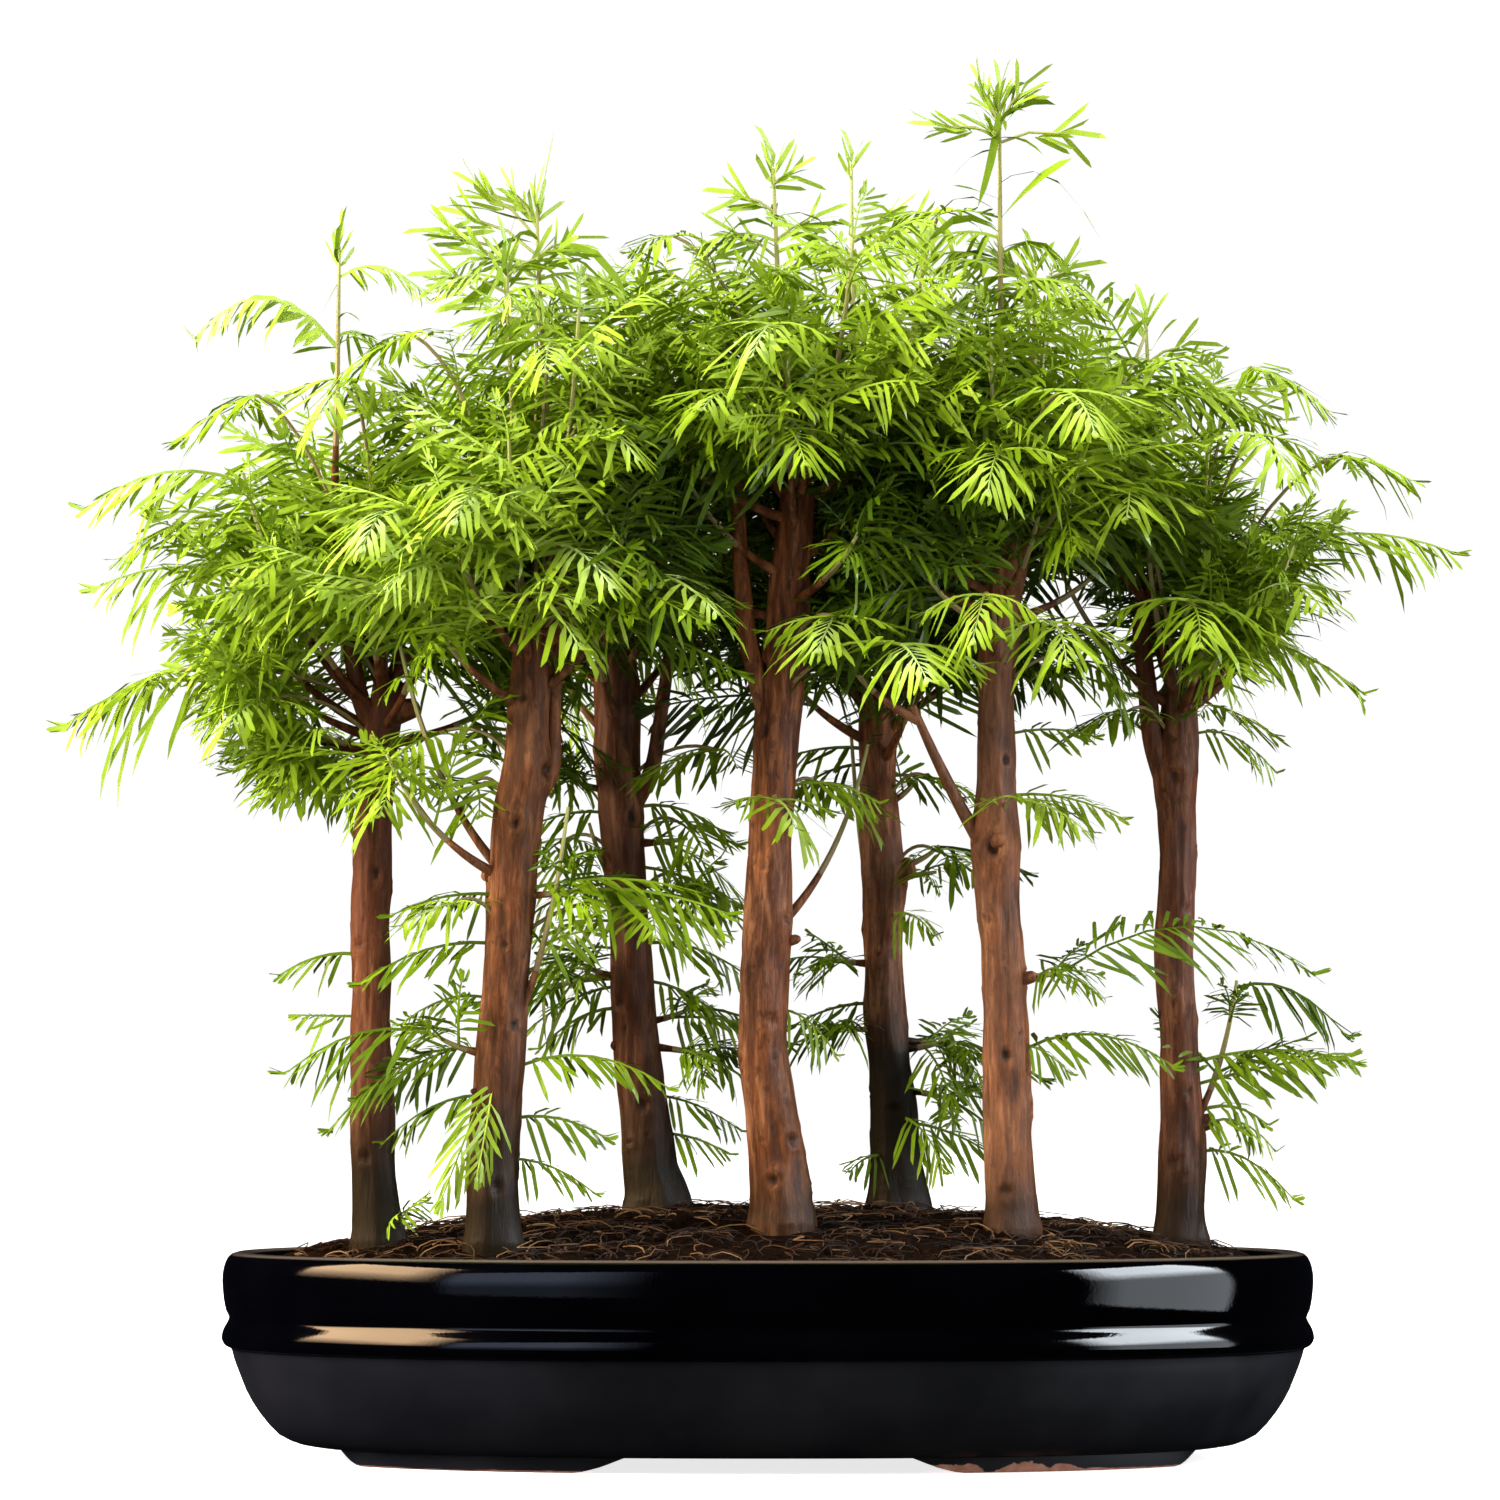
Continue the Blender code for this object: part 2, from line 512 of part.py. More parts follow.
def leader_fronds(shoot, rows, seed):
    """The tuft at a leader's end and its few fronds, each with a height, azimuth, steepness, length and droop."""
    draw = random.Random(seed)
    tuft = (shoot.at(LAST_FROND_SHARE), shoot.along(1), LEADER_TUFT, 0.0, math.pi / 2, 0.0)
    return [tuft] + [(shoot.at(share_at(shoot, height * MM)), aimed(azimuth, rise), length * MM, droop,
             draw.uniform(-0.3, 0.3), LEADER_FOLD) for height, azimuth, rise, length, droop in rows]


def in_outline(spot):
    """Whether the photograph would show that point inside the crown's outline."""
    far = CAMERA_DISTANCE / (CAMERA_DISTANCE + spot.y)
    x = spot.x * far / MM
    height = (CAMERA_HEIGHT + (spot.z - CAMERA_HEIGHT) * far) / MM
    inside = False
    for (x1, z1), (x2, z2) in zip(CROWN_OUTLINE, CROWN_OUTLINE[1:] + CROWN_OUTLINE[:1]):
        if (z1 > height) != (z2 > height) and x < x1 + (height - z1) * (x2 - x1) / (z2 - z1):
            inside = not inside
    return inside


def kept_inside(frond):
    """The frond, shorter where it would reach past the crown's outline, or None where that isn't enough."""
    root, direction, length, droop, roll, fold = frond
    for _ in range(SHORTENINGS):
        tip = root + direction * length - UP * droop * length
        if abs(tip.y) < CROWN_HALF_DEPTH and (root.z < CROWN_BOTTOM or in_outline(tip)):
            return root, direction, length, droop, roll, fold
        length *= SHORTENING
    return None


def leaflet_outline(length):
    """The frond's flat outline: (distance along the rib, distance across), from the root round the tip."""
    pairs = min(LEAFLET_PAIRS[1], max(LEAFLET_PAIRS[0], round(length * (1 - ROOT_SHARE) / LEAFLET_PITCH)))
    first = ROOT_SHARE * length
    pitch = (length * LEAFLETS_END_SHARE - first) / pairs
    full = LEAFLET_LENGTH * min(1, length / FULL_LEAFLETS_FROM)
    side = [(0, RIB_HALF_WIDTH)]
    for i in range(pairs):
        share = (i + 0.5) / pairs
        reach = full * (0.62 + 0.5 * math.sin(math.pi * (share * 0.9 + 0.1)) - 0.3 * share)
        swing = math.radians(68 - 34 * share)
        root = first + i * pitch
        side.append((root, RIB_HALF_WIDTH))
        side.append((root + pitch * 0.5 + reach * math.cos(swing), RIB_HALF_WIDTH + reach * math.sin(swing)))
    side.append((first + pairs * pitch, RIB_HALF_WIDTH))
    return side + [(length, 0)] + [(along, -across) for along, across in reversed(side)]


def frond_bmesh(frond, thickness):
    """A closed comb blade, cut to its rib, that arches along its rib and falls away to both sides."""
    root, direction, length, droop, roll, fold = frond
    bm = bmesh.new()
    bm.faces.new([bm.verts.new((along, across, 0)) for along, across in leaflet_outline(length)])
    bmesh.ops.triangulate(bm, faces=bm.faces)
    top = bmesh.ops.extrude_face_region(bm, geom=bm.faces[:])
    bmesh.ops.translate(bm, verts=[v for v in top["geom"] if isinstance(v, bmesh.types.BMVert)],
                        vec=(0, 0, thickness))
    level = direction.cross(UP)
    level = level.normalized() if level.length > 0.05 else Vector((0, 1, 0))
    across_way = (level * math.cos(roll) + direction.cross(level) * math.sin(roll)).normalized()
    for vert in bm.verts:
        along, across, height = vert.co.x, vert.co.y, vert.co.z - thickness / 2
        share = along / length
        tangent = (direction - UP * 2 * droop * share).normalized()
        facing = across_way.cross(tangent).normalized()
        spot = root + direction * along - UP * droop * length * share * share
        fall = FALL * across * across + fold * abs(across)
        vert.co = spot + across_way * across + facing * height - UP * fall
    return bm


def wood_of(name, tree, sprays, collection, bark):
    """A tree's trunk with its buried foot, and the woody twig of each of its sprays."""
    points = trunk_points(tree)
    radii = [radius * MM for _, _, radius in tree["trunk"]]
    points.insert(0, points[0] - UP * BURIED_DEPTH)
    radii.insert(0, radii[0])
    trunk = tube(name, points, radii, TRUNK_BEVEL, collection)
    twigs = [tube(f"{name}_limb_{i}", limb_points(tree, i), [limb[3] * MM for limb in limbs], LIMB_BEVEL, collection)
             for i, limbs in enumerate(tree["limbs"])]
    for i, spray in enumerate(sprays):
        shoot = Shoot(tree, spray)
        shares = [WOOD_SHARE * k / TWIG_STEPS for k in range(TWIG_STEPS + 1)]
        radii = between(TWIG_RADIUS, TWIG_STEPS)
        twigs.append(tube(f"{name}_twig_{i}", [shoot.at(share) for share in shares], radii, TWIG_BEVEL, collection))
    joined(trunk, twigs)
    trunk.data.materials.clear()
    trunk.data.materials.append(bark)
    return trunk


def shoot_tube(name, shoot, collection):
    """The green shoot, starting GAP past the end of its twig."""
    way = (shoot.at(WOOD_SHARE + 0.01) - shoot.at(WOOD_SHARE)).length
    first = WOOD_SHARE + 0.01 * GAP / way
    shares = [first + (1 - first) * k / SHOOT_STEPS for k in range(SHOOT_STEPS + 1)]
    return tube(name, [shoot.at(share) for share in shares], between(SHOOT_RADIUS, SHOOT_STEPS), TWIG_BEVEL,
                collection)


def surface_of(obj):
    bpy.context.view_layer.update()
    return BVHTree.FromObject(obj, bpy.context.evaluated_depsgraph_get())


def candidates(name, i, shoot, seed):
    """The fronds that spray i of the tree may carry, the first wanted first."""
    number, rows = LEADERS.get(name, (0, []))
    if number == i + 1:
        return leader_fronds(shoot, rows, seed)
    tip = TIPS.get(name, {}).get(i + 1)
    fronds = fronds_of(shoot, seed, tip)
    held = [frond if tip and k == 0 else kept_inside(frond) for k, frond in enumerate(fronds)]
    return [frond for frond in held if frond]


def leafy_sprays(collection, leaf, taken):
    """Every spray: its shoot and the fronds that stay clear of all that is placed before them."""
    shoots = []
    for number, (name, tree) in enumerate(TREES.items()):
        for i, spray in enumerate(SPRAYS[name]):
            shoot = Shoot(tree, spray)
            stem = shoot_tube(f"{name}_spray_{i + 1}", shoot, collection)
            room = FRONDS_IN_BACK_SPRAY if name in BACK_TREES else FRONDS_IN_SPRAY
            shoots.append((stem, candidates(name, i, shoot, 100 * (number + 1) + i), room))
    stems = {stem.name: surface_of(stem) for stem, _, _ in shoots}
    blades = {stem.name: [] for stem, _, _ in shoots}
    for turn in range(FRONDS_IN_SPRAY):
        for stem, fronds, room in shoots:
            others = taken + [surface for name, surface in stems.items() if name != stem.name]
            while fronds and turn < room:
                frond = fronds.pop(0)
                wide = frond_bmesh(frond, FROND_THICKNESS + 2 * FROND_CLEARANCE)
                hull = BVHTree.FromBMesh(wide)
                wide.free()
                if any(hull.overlap(other) for other in others):
                    continue
                taken.append(hull)
                blade = mesh_of(frond_bmesh(frond, FROND_THICKNESS), "blade")
                blades[stem.name].append(new_object("blade", blade, collection))
                break
    for stem, _, _ in shoots:
        joined(stem, blades[stem.name])
        stem.data.materials.clear()
        stem.data.materials.append(leaf)


def centre_on_footprint(collection):
    """Moves every mesh so that the origin is the bottom centre of the whole bounding box."""
    bpy.context.view_layer.update()
    corners = [obj.matrix_world @ Vector(c) for obj in collection.objects for c in obj.bound_box]
    low = Vector(min(c[i] for c in corners) for i in range(3))
    high = Vector(max(c[i] for c in corners) for i in range(3))
    shift = Vector((-(low.x + high.x) / 2, -(low.y + high.y) / 2, -low.z))
    for obj in bpy.data.objects:
        obj.location += shift


def main():
    for obj in list(bpy.data.objects):
        bpy.data.objects.remove(obj)
    forest = bpy.data.collections.new("dawn_redwood_forest")
    bpy.context.scene.collection.children.link(forest)
    glaze = material("black_glaze", (0.012, 0.014, 0.02), 0.12)
    earth = material("dark_soil", (0.045, 0.026, 0.014), 0.95)
    bark = material("redwood_bark", (0.20, 0.075, 0.035), 0.75)
    leaf = material("fresh_leaf", (0.22, 0.50, 0.03), 0.5)
    plastic = material("screen_plastic", (0.03, 0.03, 0.03), 0.6)
    solids = [tray(forest, glaze), soil(forest, earth)]
    for side, x in (("left", -DRAIN_OFFSET), ("right", DRAIN_OFFSET)):
        screen("drain_screen_" + side, x, forest, plastic)
    for name, tree in TREES.items():
        solids.append(wood_of(name + "_wood", tree, SPRAYS[name], forest, bark))
    leafy_sprays(forest, leaf, [surface_of(solid) for solid in solids])
    centre_on_footprint(forest)


main()
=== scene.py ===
# Dawn redwood forest planting: seven trees, soil and an oval glazed tray.
# Everything is made round the tray's middle, from tables in mm, and newPiece moves it to the tray's place.
import math
import random

import bmesh
import bpy
import numpy as np
from mathutils import Matrix, Vector, noise


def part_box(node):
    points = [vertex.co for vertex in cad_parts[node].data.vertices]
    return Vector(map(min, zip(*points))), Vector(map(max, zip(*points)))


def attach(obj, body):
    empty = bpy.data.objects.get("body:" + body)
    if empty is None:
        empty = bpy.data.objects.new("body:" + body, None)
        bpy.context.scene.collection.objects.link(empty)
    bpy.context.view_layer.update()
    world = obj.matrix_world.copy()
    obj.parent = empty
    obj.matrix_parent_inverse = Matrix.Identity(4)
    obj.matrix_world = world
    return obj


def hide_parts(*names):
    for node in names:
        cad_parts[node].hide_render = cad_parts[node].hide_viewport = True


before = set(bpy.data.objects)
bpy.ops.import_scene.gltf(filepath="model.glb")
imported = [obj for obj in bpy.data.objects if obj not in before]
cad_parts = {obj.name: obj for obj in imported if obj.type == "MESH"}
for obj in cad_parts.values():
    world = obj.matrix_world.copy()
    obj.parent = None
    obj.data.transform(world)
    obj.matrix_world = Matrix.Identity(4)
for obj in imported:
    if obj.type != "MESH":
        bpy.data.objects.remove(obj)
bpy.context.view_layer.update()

mm = 0.001
up = Vector((0, 0, 1))
trayLow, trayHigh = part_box("tray")
footGround = 4.8 * mm  # where the feet's undersides are in the heights below
trayPlace = Vector(((trayLow[0] + trayHigh[0]) / 2, (trayLow[1] + trayHigh[1]) / 2, -footGround))

view = {
    "distance": 2.4,
    "height": 0.134,
    "aim": Vector((-0.0063, 0, 0.2579)),
    "width": 0.5391,  # of the photograph at the tray's middle
    "sensor": 36,
}


def trueSpot(x, height, y):
    # the tables hold x and height as the photograph shows them; what stands nearer looks larger
    near = (view["distance"] + y * mm) / view["distance"]
    middle, eye = view["aim"].x, view["height"]
    return Vector((middle + (x * mm - middle) * near, y * mm, eye + (height * mm - eye) * near))


def seenAt(spot):
    # x and height of a point as the photograph shows it, in mm
    far = view["distance"] / (view["distance"] + spot.y)
    middle, eye = view["aim"].x, view["height"]
    return (middle + (spot.x - middle) * far) / mm, (eye + (spot.z - eye) * far) / mm


# Meshes

def placed(name, data):
    thing = bpy.data.objects.new(name, data)
    bpy.context.scene.collection.objects.link(thing)
    return thing


def meshOf(name, bm):
    mesh = bpy.data.meshes.new(name)
    bm.to_mesh(mesh)
    bm.free()
    return mesh


def newPiece(name, bm, looks, replaced=(), smooth=True):
    mesh = meshOf(name, bm)
    mesh.transform(Matrix.Translation(trayPlace))
    for look in looks:
        mesh.materials.append(look)
    piece = placed(name, mesh)
    if smooth:
        mesh.shade_smooth()
    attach(piece, "root")
    if replaced:
        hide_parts(*replaced)
    return piece


def outwards(bm):
    bmesh.ops.recalc_face_normals(bm, faces=bm.faces)
    if bm.calc_volume(signed=True) < 0:
        bmesh.ops.reverse_faces(bm, faces=bm.faces)


def smoothstep(low, high, value):
    share = min(1, max(0, (value - low) / (high - low)))
    return share * share * (3 - 2 * share)


def smoothPath(points, radii, perSpan):
    # points and radii on one smooth curve through the given ones
    found = []
    last = len(points) - 1
    for i in range(last):
        p = [points[max(0, i - 1)], points[i], points[i + 1], points[min(last, i + 2)]]
        for k in range(perSpan):
            t = k / perSpan
            spot = 0.5 * ((2 * p[1]) + (p[2] - p[0]) * t + (2 * p[0] - 5 * p[1] + 4 * p[2] - p[3]) * t * t
                          + (3 * p[1] - p[0] - 3 * p[2] + p[3]) * t * t * t)
            found.append((spot, radii[i] + (radii[i + 1] - radii[i]) * t))
    found.append((points[-1], radii[-1]))
    return found


def framesAlong(points, firstSide):
    # tangent and two sides at each point, without twist
    frames = []
    side = firstSide
    for i, point in enumerate(points):
        tangent = (points[min(i + 1, len(points) - 1)] - points[max(i - 1, 0)]).normalized()
        side = (side - tangent * side.dot(tangent)).normalized()
        frames.append((tangent, side, tangent.cross(side)))
    return frames


def skin(path, sides, firstSide=Vector((1, 0, 0)), relief=None):
    # a closed tube round the path; relief gives how far the surface stands out at an angle and a point
    points = [point for point, radius in path]
    frames = framesAlong(points, firstSide)
    bm = bmesh.new()
    layer = bm.verts.layers.float.new("relief") if relief else None
    bmesh.ops.create_grid(bm, x_segments=sides, y_segments=len(path) - 1, size=0.5)
    for vert in bm.verts:
        angle = (vert.co.x + 0.5) * 2 * math.pi
        ring = round((vert.co.y + 0.5) * (len(path) - 1))
        tangent, side, across = frames[ring]
        outward = side * math.cos(angle) + across * math.sin(angle)
        radius = path[ring][1]
        if relief:
            stand = relief(angle, points[ring] + outward * radius, radius)
            radius += stand
            vert[layer] = stand / mm
        vert.co = points[ring] + outward * radius
    bmesh.ops.remove_doubles(bm, verts=bm.verts, dist=0.002 * mm)
    caps = bmesh.ops.holes_fill(bm, edges=bm.edges, sides=0)["faces"]
    bmesh.ops.poke(bm, faces=caps)
    outwards(bm)
    return bm


def addTo(bm, other):
    # other's geometry is copied into bm, and other is freed
    mesh = meshOf("part", other)
    bm.from_mesh(mesh)
    bpy.data.meshes.remove(mesh)


# Shader nodes

def nodesOf(name, roughness=0.5, specular=0.5):
    material = bpy.data.materials.new(name)
    material.use_nodes = True
    tree = material.node_tree
    shader = tree.nodes["Principled BSDF"]
    shader.inputs["Roughness"].default_value = roughness
    shader.inputs["Specular IOR Level"].default_value = specular
    return material, tree, shader


def link(tree, source, target):
    tree.links.new(source, target)


def feed(tree, socket, source):
    # the source is another node's output, a colour or a number
    if isinstance(source, bpy.types.NodeSocket):
        link(tree, source, socket)
    elif source is not None:
        socket.default_value = (*source, 1) if isinstance(source, tuple) else source


def noiseNode(tree, scale, detail=4.0, stretch=(1, 1, 1), roughness=0.55):
    # 3-D noise on object coordinates, with the scale in cells a metre
    place = tree.nodes.new("ShaderNodeTexCoord")
    mapping = tree.nodes.new("ShaderNodeMapping")
    mapping.inputs["Scale"].default_value = stretch
    grain = tree.nodes.new("ShaderNodeTexNoise")
    grain.inputs["Scale"].default_value = scale
    grain.inputs["Detail"].default_value = detail
    grain.inputs["Roughness"].default_value = roughness
    link(tree, place.outputs["Object"], mapping.inputs["Vector"])
    link(tree, mapping.outputs["Vector"], grain.inputs["Vector"])
    return grain.outputs["Fac"]


def ramp(tree, factor, stops):
    made = tree.nodes.new("ShaderNodeValToRGB")
    elements = made.color_ramp.elements
    while len(elements) < len(stops):
        elements.new(0.5)
    for element, (position, colour) in zip(elements, stops):
        element.position = position
        element.color = (*colour, 1)
    link(tree, factor, made.inputs["Fac"])
    return made.outputs["Color"]


def rangeOf(tree, value, low, high, toLow, toHigh):
    made = tree.nodes.new("ShaderNodeMapRange")
    for socket, number in zip(("From Min", "From Max", "To Min", "To Max"), (low, high, toLow, toHigh)):
        made.inputs[socket].default_value = number
    link(tree, value, made.inputs["Value"])
    return made.outputs["Result"]


def mixed(tree, factor, first, second, blend="MIX"):
    made = tree.nodes.new("ShaderNodeMix")
    made.data_type = "RGBA"
    made.blend_type = blend
    for socket, source in ((0, factor), (6, first), (7, second)):
        feed(tree, made.inputs[socket], source)
    return made.outputs[2]


def coordinate(tree, axis):
    place = tree.nodes.new("ShaderNodeTexCoord")
    split = tree.nodes.new("ShaderNodeSeparateXYZ")
    link(tree, place.outputs["Object"], split.inputs["Vector"])
    return split.outputs[axis]


def calculated(tree, operation, first, second=None):
    made = tree.nodes.new("ShaderNodeMath")
    made.operation = operation
    feed(tree, made.inputs[0], first)
    feed(tree, made.inputs[1], second)
    return made.outputs[0]


def attribute(tree, name):
    made = tree.nodes.new("ShaderNodeAttribute")
    made.attribute_name = name
    return made.outputs["Fac"]


def bump(tree, shader, height, strength, distance):
    made = tree.nodes.new("ShaderNodeBump")
    made.inputs["Strength"].default_value = strength
    made.inputs["Distance"].default_value = distance
    link(tree, height, made.inputs["Height"])
    link(tree, made.outputs["Normal"], shader.inputs["Normal"])


# The tray

trayShape = {
    "length": 390 * mm,
    "depth": 290 * mm,
    "squareness": 2.3,
    "sides": 200,
    # inset from the widest outline and height in mm: under the tray, up outside, over the rim and down inside
    "outside": [(34, 10), (30, 10.1), (27, 10.6), (24.2, 11.6), (20.4, 13.6), (16.8, 17.2), (13.6, 21.2),
                (11, 25.2), (8.8, 29.3), (7.1, 33.6), (5.4, 37.9), (4.4, 40.8), (3.8, 43.1), (3.3, 44.2),
                (2.2, 44.6), (1.2, 45.2), (0.4, 46.3), (0, 47.6), (0.15, 49.0), (0.6, 50.5), (1.2, 51.8),
                (1.9, 53.0), (2.5, 54.2), (2.7, 55.0), (2.3, 56.0), (1.6, 57.4), (1.1, 59.4), (0.7, 61.6),
                (0.4, 64.6), (0.2, 67.6), (0.3, 70.2), (0.7, 72.6), (1.3, 74.6), (2.2, 76.3), (3.4, 77.4),
                (5, 77.9)],
    "inside": [(6.8, 78), (9, 78), (10.3, 77.7), (11.1, 77), (11.5, 75.8), (12.4, 73), (13.5, 70), (16, 40),
               (19, 24), (30, 16), (80, 15.9)],
    "wobble": (20 * mm, 11, 0.35 * mm),  # the clay isn't true above this height: waves a metre and their size
    "sharpFrom": 42,
    "footMiddle": 52.5,  # degrees from the tray's long axis
    "footHalfSpan": 27.5,
    "footInset": (29.6 * mm, 46.4 * mm),
    "footHeight": 10 * mm,
    "footCuts": 47,
    "drainRadius": 9 * mm,
    "drainOffset": 62 * mm,
}
glaze = {
    "belt": (0.0388, 0.0396),  # heights between which satin turns to gloss
    "rim": (0.0722, 0.0728),  # heights between which the glaze thins
    "glossy": [(0.3, (0.0001, 0.0001, 0.0003)), (0.7, (0.0005, 0.0005, 0.0010))],
    "satin": [(0.3, (0.0022, 0.0027, 0.0050)), (0.7, (0.0050, 0.0058, 0.0098))],
    "thin": (0.080, 0.062, 0.048),
    "clay": [(0.3, (0.20, 0.075, 0.045)), (0.7, (0.34, 0.16, 0.11))],
    # the bare clay's middle, half its length, where it is highest, and its least and greatest height
    "bare": (0.078, 0.042, 0.012, 0.0004, 0.0036),
    "glossRoughness": (0.045, 0.085),
    "satinRoughness": (0.42, 0.56),
}


def glazeMaterial():
    material, tree, shader = nodesOf("black_glaze")
    height = coordinate(tree, "Z")
    speckle = noiseNode(tree, 900, 2)
    cloud = noiseNode(tree, 26, 5)
    glossy = rangeOf(tree, height, *glaze["belt"], 0, 1)
    colour = mixed(tree, glossy, ramp(tree, cloud, glaze["satin"]), ramp(tree, cloud, glaze["glossy"]))
    colour = mixed(tree, rangeOf(tree, height, *glaze["rim"], 0, 1), colour, glaze["thin"])
    clay = ramp(tree, noiseNode(tree, 260, 4), glaze["clay"])
    # the feet stand on bare clay, which shows a little up the right front foot
    middle, half, highest, least, most = glaze["bare"]
    side = calculated(tree, "ABSOLUTE", calculated(tree, "SUBTRACT", coordinate(tree, "X"), middle))
    ragged = rangeOf(tree, noiseNode(tree, 60, 4), 0.38, 0.58, 0, 1)
    edge = calculated(tree, "MULTIPLY", rangeOf(tree, side, half, highest, least, most), ragged)
    bare = rangeOf(tree, calculated(tree, "SUBTRACT", height, edge), 0.0005, 0.0002, 0, 1)
    link(tree, mixed(tree, bare, colour, clay), shader.inputs["Base Color"])
    satin = rangeOf(tree, cloud, 0.3, 0.7, *glaze["satinRoughness"])
    gloss = rangeOf(tree, cloud, 0.3, 0.7, *glaze["glossRoughness"])
    link(tree, mixed(tree, glossy, satin, gloss), shader.inputs["Roughness"])
    shader.inputs["IOR"].default_value = 1.52
    bump(tree, shader, mixed(tree, 0.25, noiseNode(tree, 34, 2), speckle), 0.06, 0.0012)
    return material


def oval(angle, inset):
    power = trayShape["squareness"]
    x = math.copysign(abs(math.cos(angle)) ** (2 / power), math.cos(angle))
    y = math.copysign(abs(math.sin(angle)) ** (2 / power), math.sin(angle))
    outward = Vector((math.copysign(abs(x) ** (power - 1), x) * 2 / trayShape["length"],
                      math.copysign(abs(y) ** (power - 1), y) * 2 / trayShape["depth"], 0)).normalized()
    return Vector((x * trayShape["length"] / 2, y * trayShape["depth"] / 2, 0)) - outward * inset


def ovalSpin(profile, sides):
    # the profile, as (inset, height) in mm, carried round the tray's oval
    bm = bmesh.new()
    half = trayShape["length"] / 2
    line = [bm.verts.new((half - inset * mm, 0, height * mm)) for inset, height in profile]
    edges = [bm.edges.new(pair) for pair in zip(line, line[1:])]
    bmesh.ops.spin(bm, geom=line + edges, axis=up, cent=(0, 0, 0), angle=2 * math.pi, steps=sides,
                   use_merge=True)
    bmesh.ops.remove_doubles(bm, verts=bm.verts, dist=0.002 * mm)
    for vert in bm.verts:
        spot = oval(math.atan2(vert.co.y, vert.co.x), half - math.hypot(vert.co.x, vert.co.y))
        vert.co.x, vert.co.y = spot.x, spot.y
    return bm


def trayFoot(middle):
    # a beam bent along the oval, whose underside rises to both ends
    bm = bmesh.new()
    bmesh.ops.create_cube(bm, size=2)
    long = [e for e in bm.edges if abs(e.verts[0].co.x - e.verts[1].co.x) > 1]
    bmesh.ops.bevel(bm, geom=[e for e in long if e.verts[0].co.z < 0], affect="EDGES", offset=0.22,
                    segments=4, profile=0.5, material=-1)
    long = [e for e in bm.edges if abs(e.verts[0].co.x - e.verts[1].co.x) > 1]
    bmesh.ops.subdivide_edges(bm, edges=long, cuts=trayShape["footCuts"], use_grid_fill=True)
    outer, inner = trayShape["footInset"]
    top = trayShape["footHeight"] + 2.5 * mm
    for vert in bm.verts:
        share = vert.co.x
        lift = footGround + smoothstep(0.66, 1, abs(share)) * (trayShape["footHeight"] + 2 * mm - footGround)
        bottom = 1 - (vert.co.z + 1) / 2
        inset = (inner + outer) / 2 + vert.co.y * (inner - outer) / 2 * (1 - 0.09 * bottom)
        spot = oval(math.radians(middle + share * trayShape["footHalfSpan"]), inset)
        vert.co = (spot.x, spot.y, top - bottom * (top - lift))
    outwards(bm)
    return bm


def makeTray():
    shape = trayShape
    bm = ovalSpin(shape["outside"] + shape["inside"], shape["sides"])
    bmesh.ops.holes_fill(bm, edges=bm.edges, sides=0)
    outwards(bm)
    wobbleFrom, waves, wobble = shape["wobble"]
    for vert in bm.verts:
        if vert.co.z > wobbleFrom:
            outward = Vector((vert.co.x, vert.co.y, 0)).normalized()
            vert.co += outward * (noise.noise(vert.co * waves) * wobble)
    drains = bmesh.new()
    for side in (-1, 1):
        drain = bmesh.new()
        bmesh.ops.create_cone(drain, cap_ends=True, segments=40, radius1=shape["drainRadius"],
                              radius2=shape["drainRadius"], depth=40 * mm)
        bmesh.ops.translate(drain, verts=drain.verts, vec=(side * shape["drainOffset"], 0, 10 * mm))
        addTo(drains, drain)
    body = placed("trayBody", meshOf("trayBody", bm))
    cutter = placed("drainCutter", meshOf("drainCutter", drains))
    cut = body.modifiers.new("drains", "BOOLEAN")
    cut.operation = "DIFFERENCE"
    cut.object = cutter
    cut.solver = "EXACT"
    bpy.context.view_layer.update()
    bm = bmesh.new()
    bm.from_mesh(bpy.data.meshes.new_from_object(body.evaluated_get(bpy.context.evaluated_depsgraph_get())))
    bpy.data.objects.remove(body)
    bpy.data.objects.remove(cutter)
    for quarter in (0, 180):
        addTo(bm, trayFoot(quarter + shape["footMiddle"]))
        addTo(bm, trayFoot(180 - quarter - shape["footMiddle"]))
    tray = newPiece("oval_tray", bm, [glazeMaterial()], ["tray"])
    tray.data.set_sharp_from_angle(angle=math.radians(shape["sharpFrom"]))


def finishScreens():
    # the plastic screens over the drains are the CAD's own pieces
    material, tree, shader = nodesOf("black_mesh")
    dust = rangeOf(tree, noiseNode(tree, 300, 4), 0.45, 0.7, 0, 1)
    link(tree, mixed(tree, dust, (0.012, 0.012, 0.013), (0.050, 0.036, 0.024)), shader.inputs["Base Color"])
    link(tree, rangeOf(tree, dust, 0, 1, 0.42, 0.8), shader.inputs["Roughness"])
    bump(tree, shader, noiseNode(tree, 900, 3), 0.3, 0.0003)
    for name in ("drain_screen_left", "drain_screen_right"):
        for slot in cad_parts[name].material_slots:
            slot.material = material


# The soil

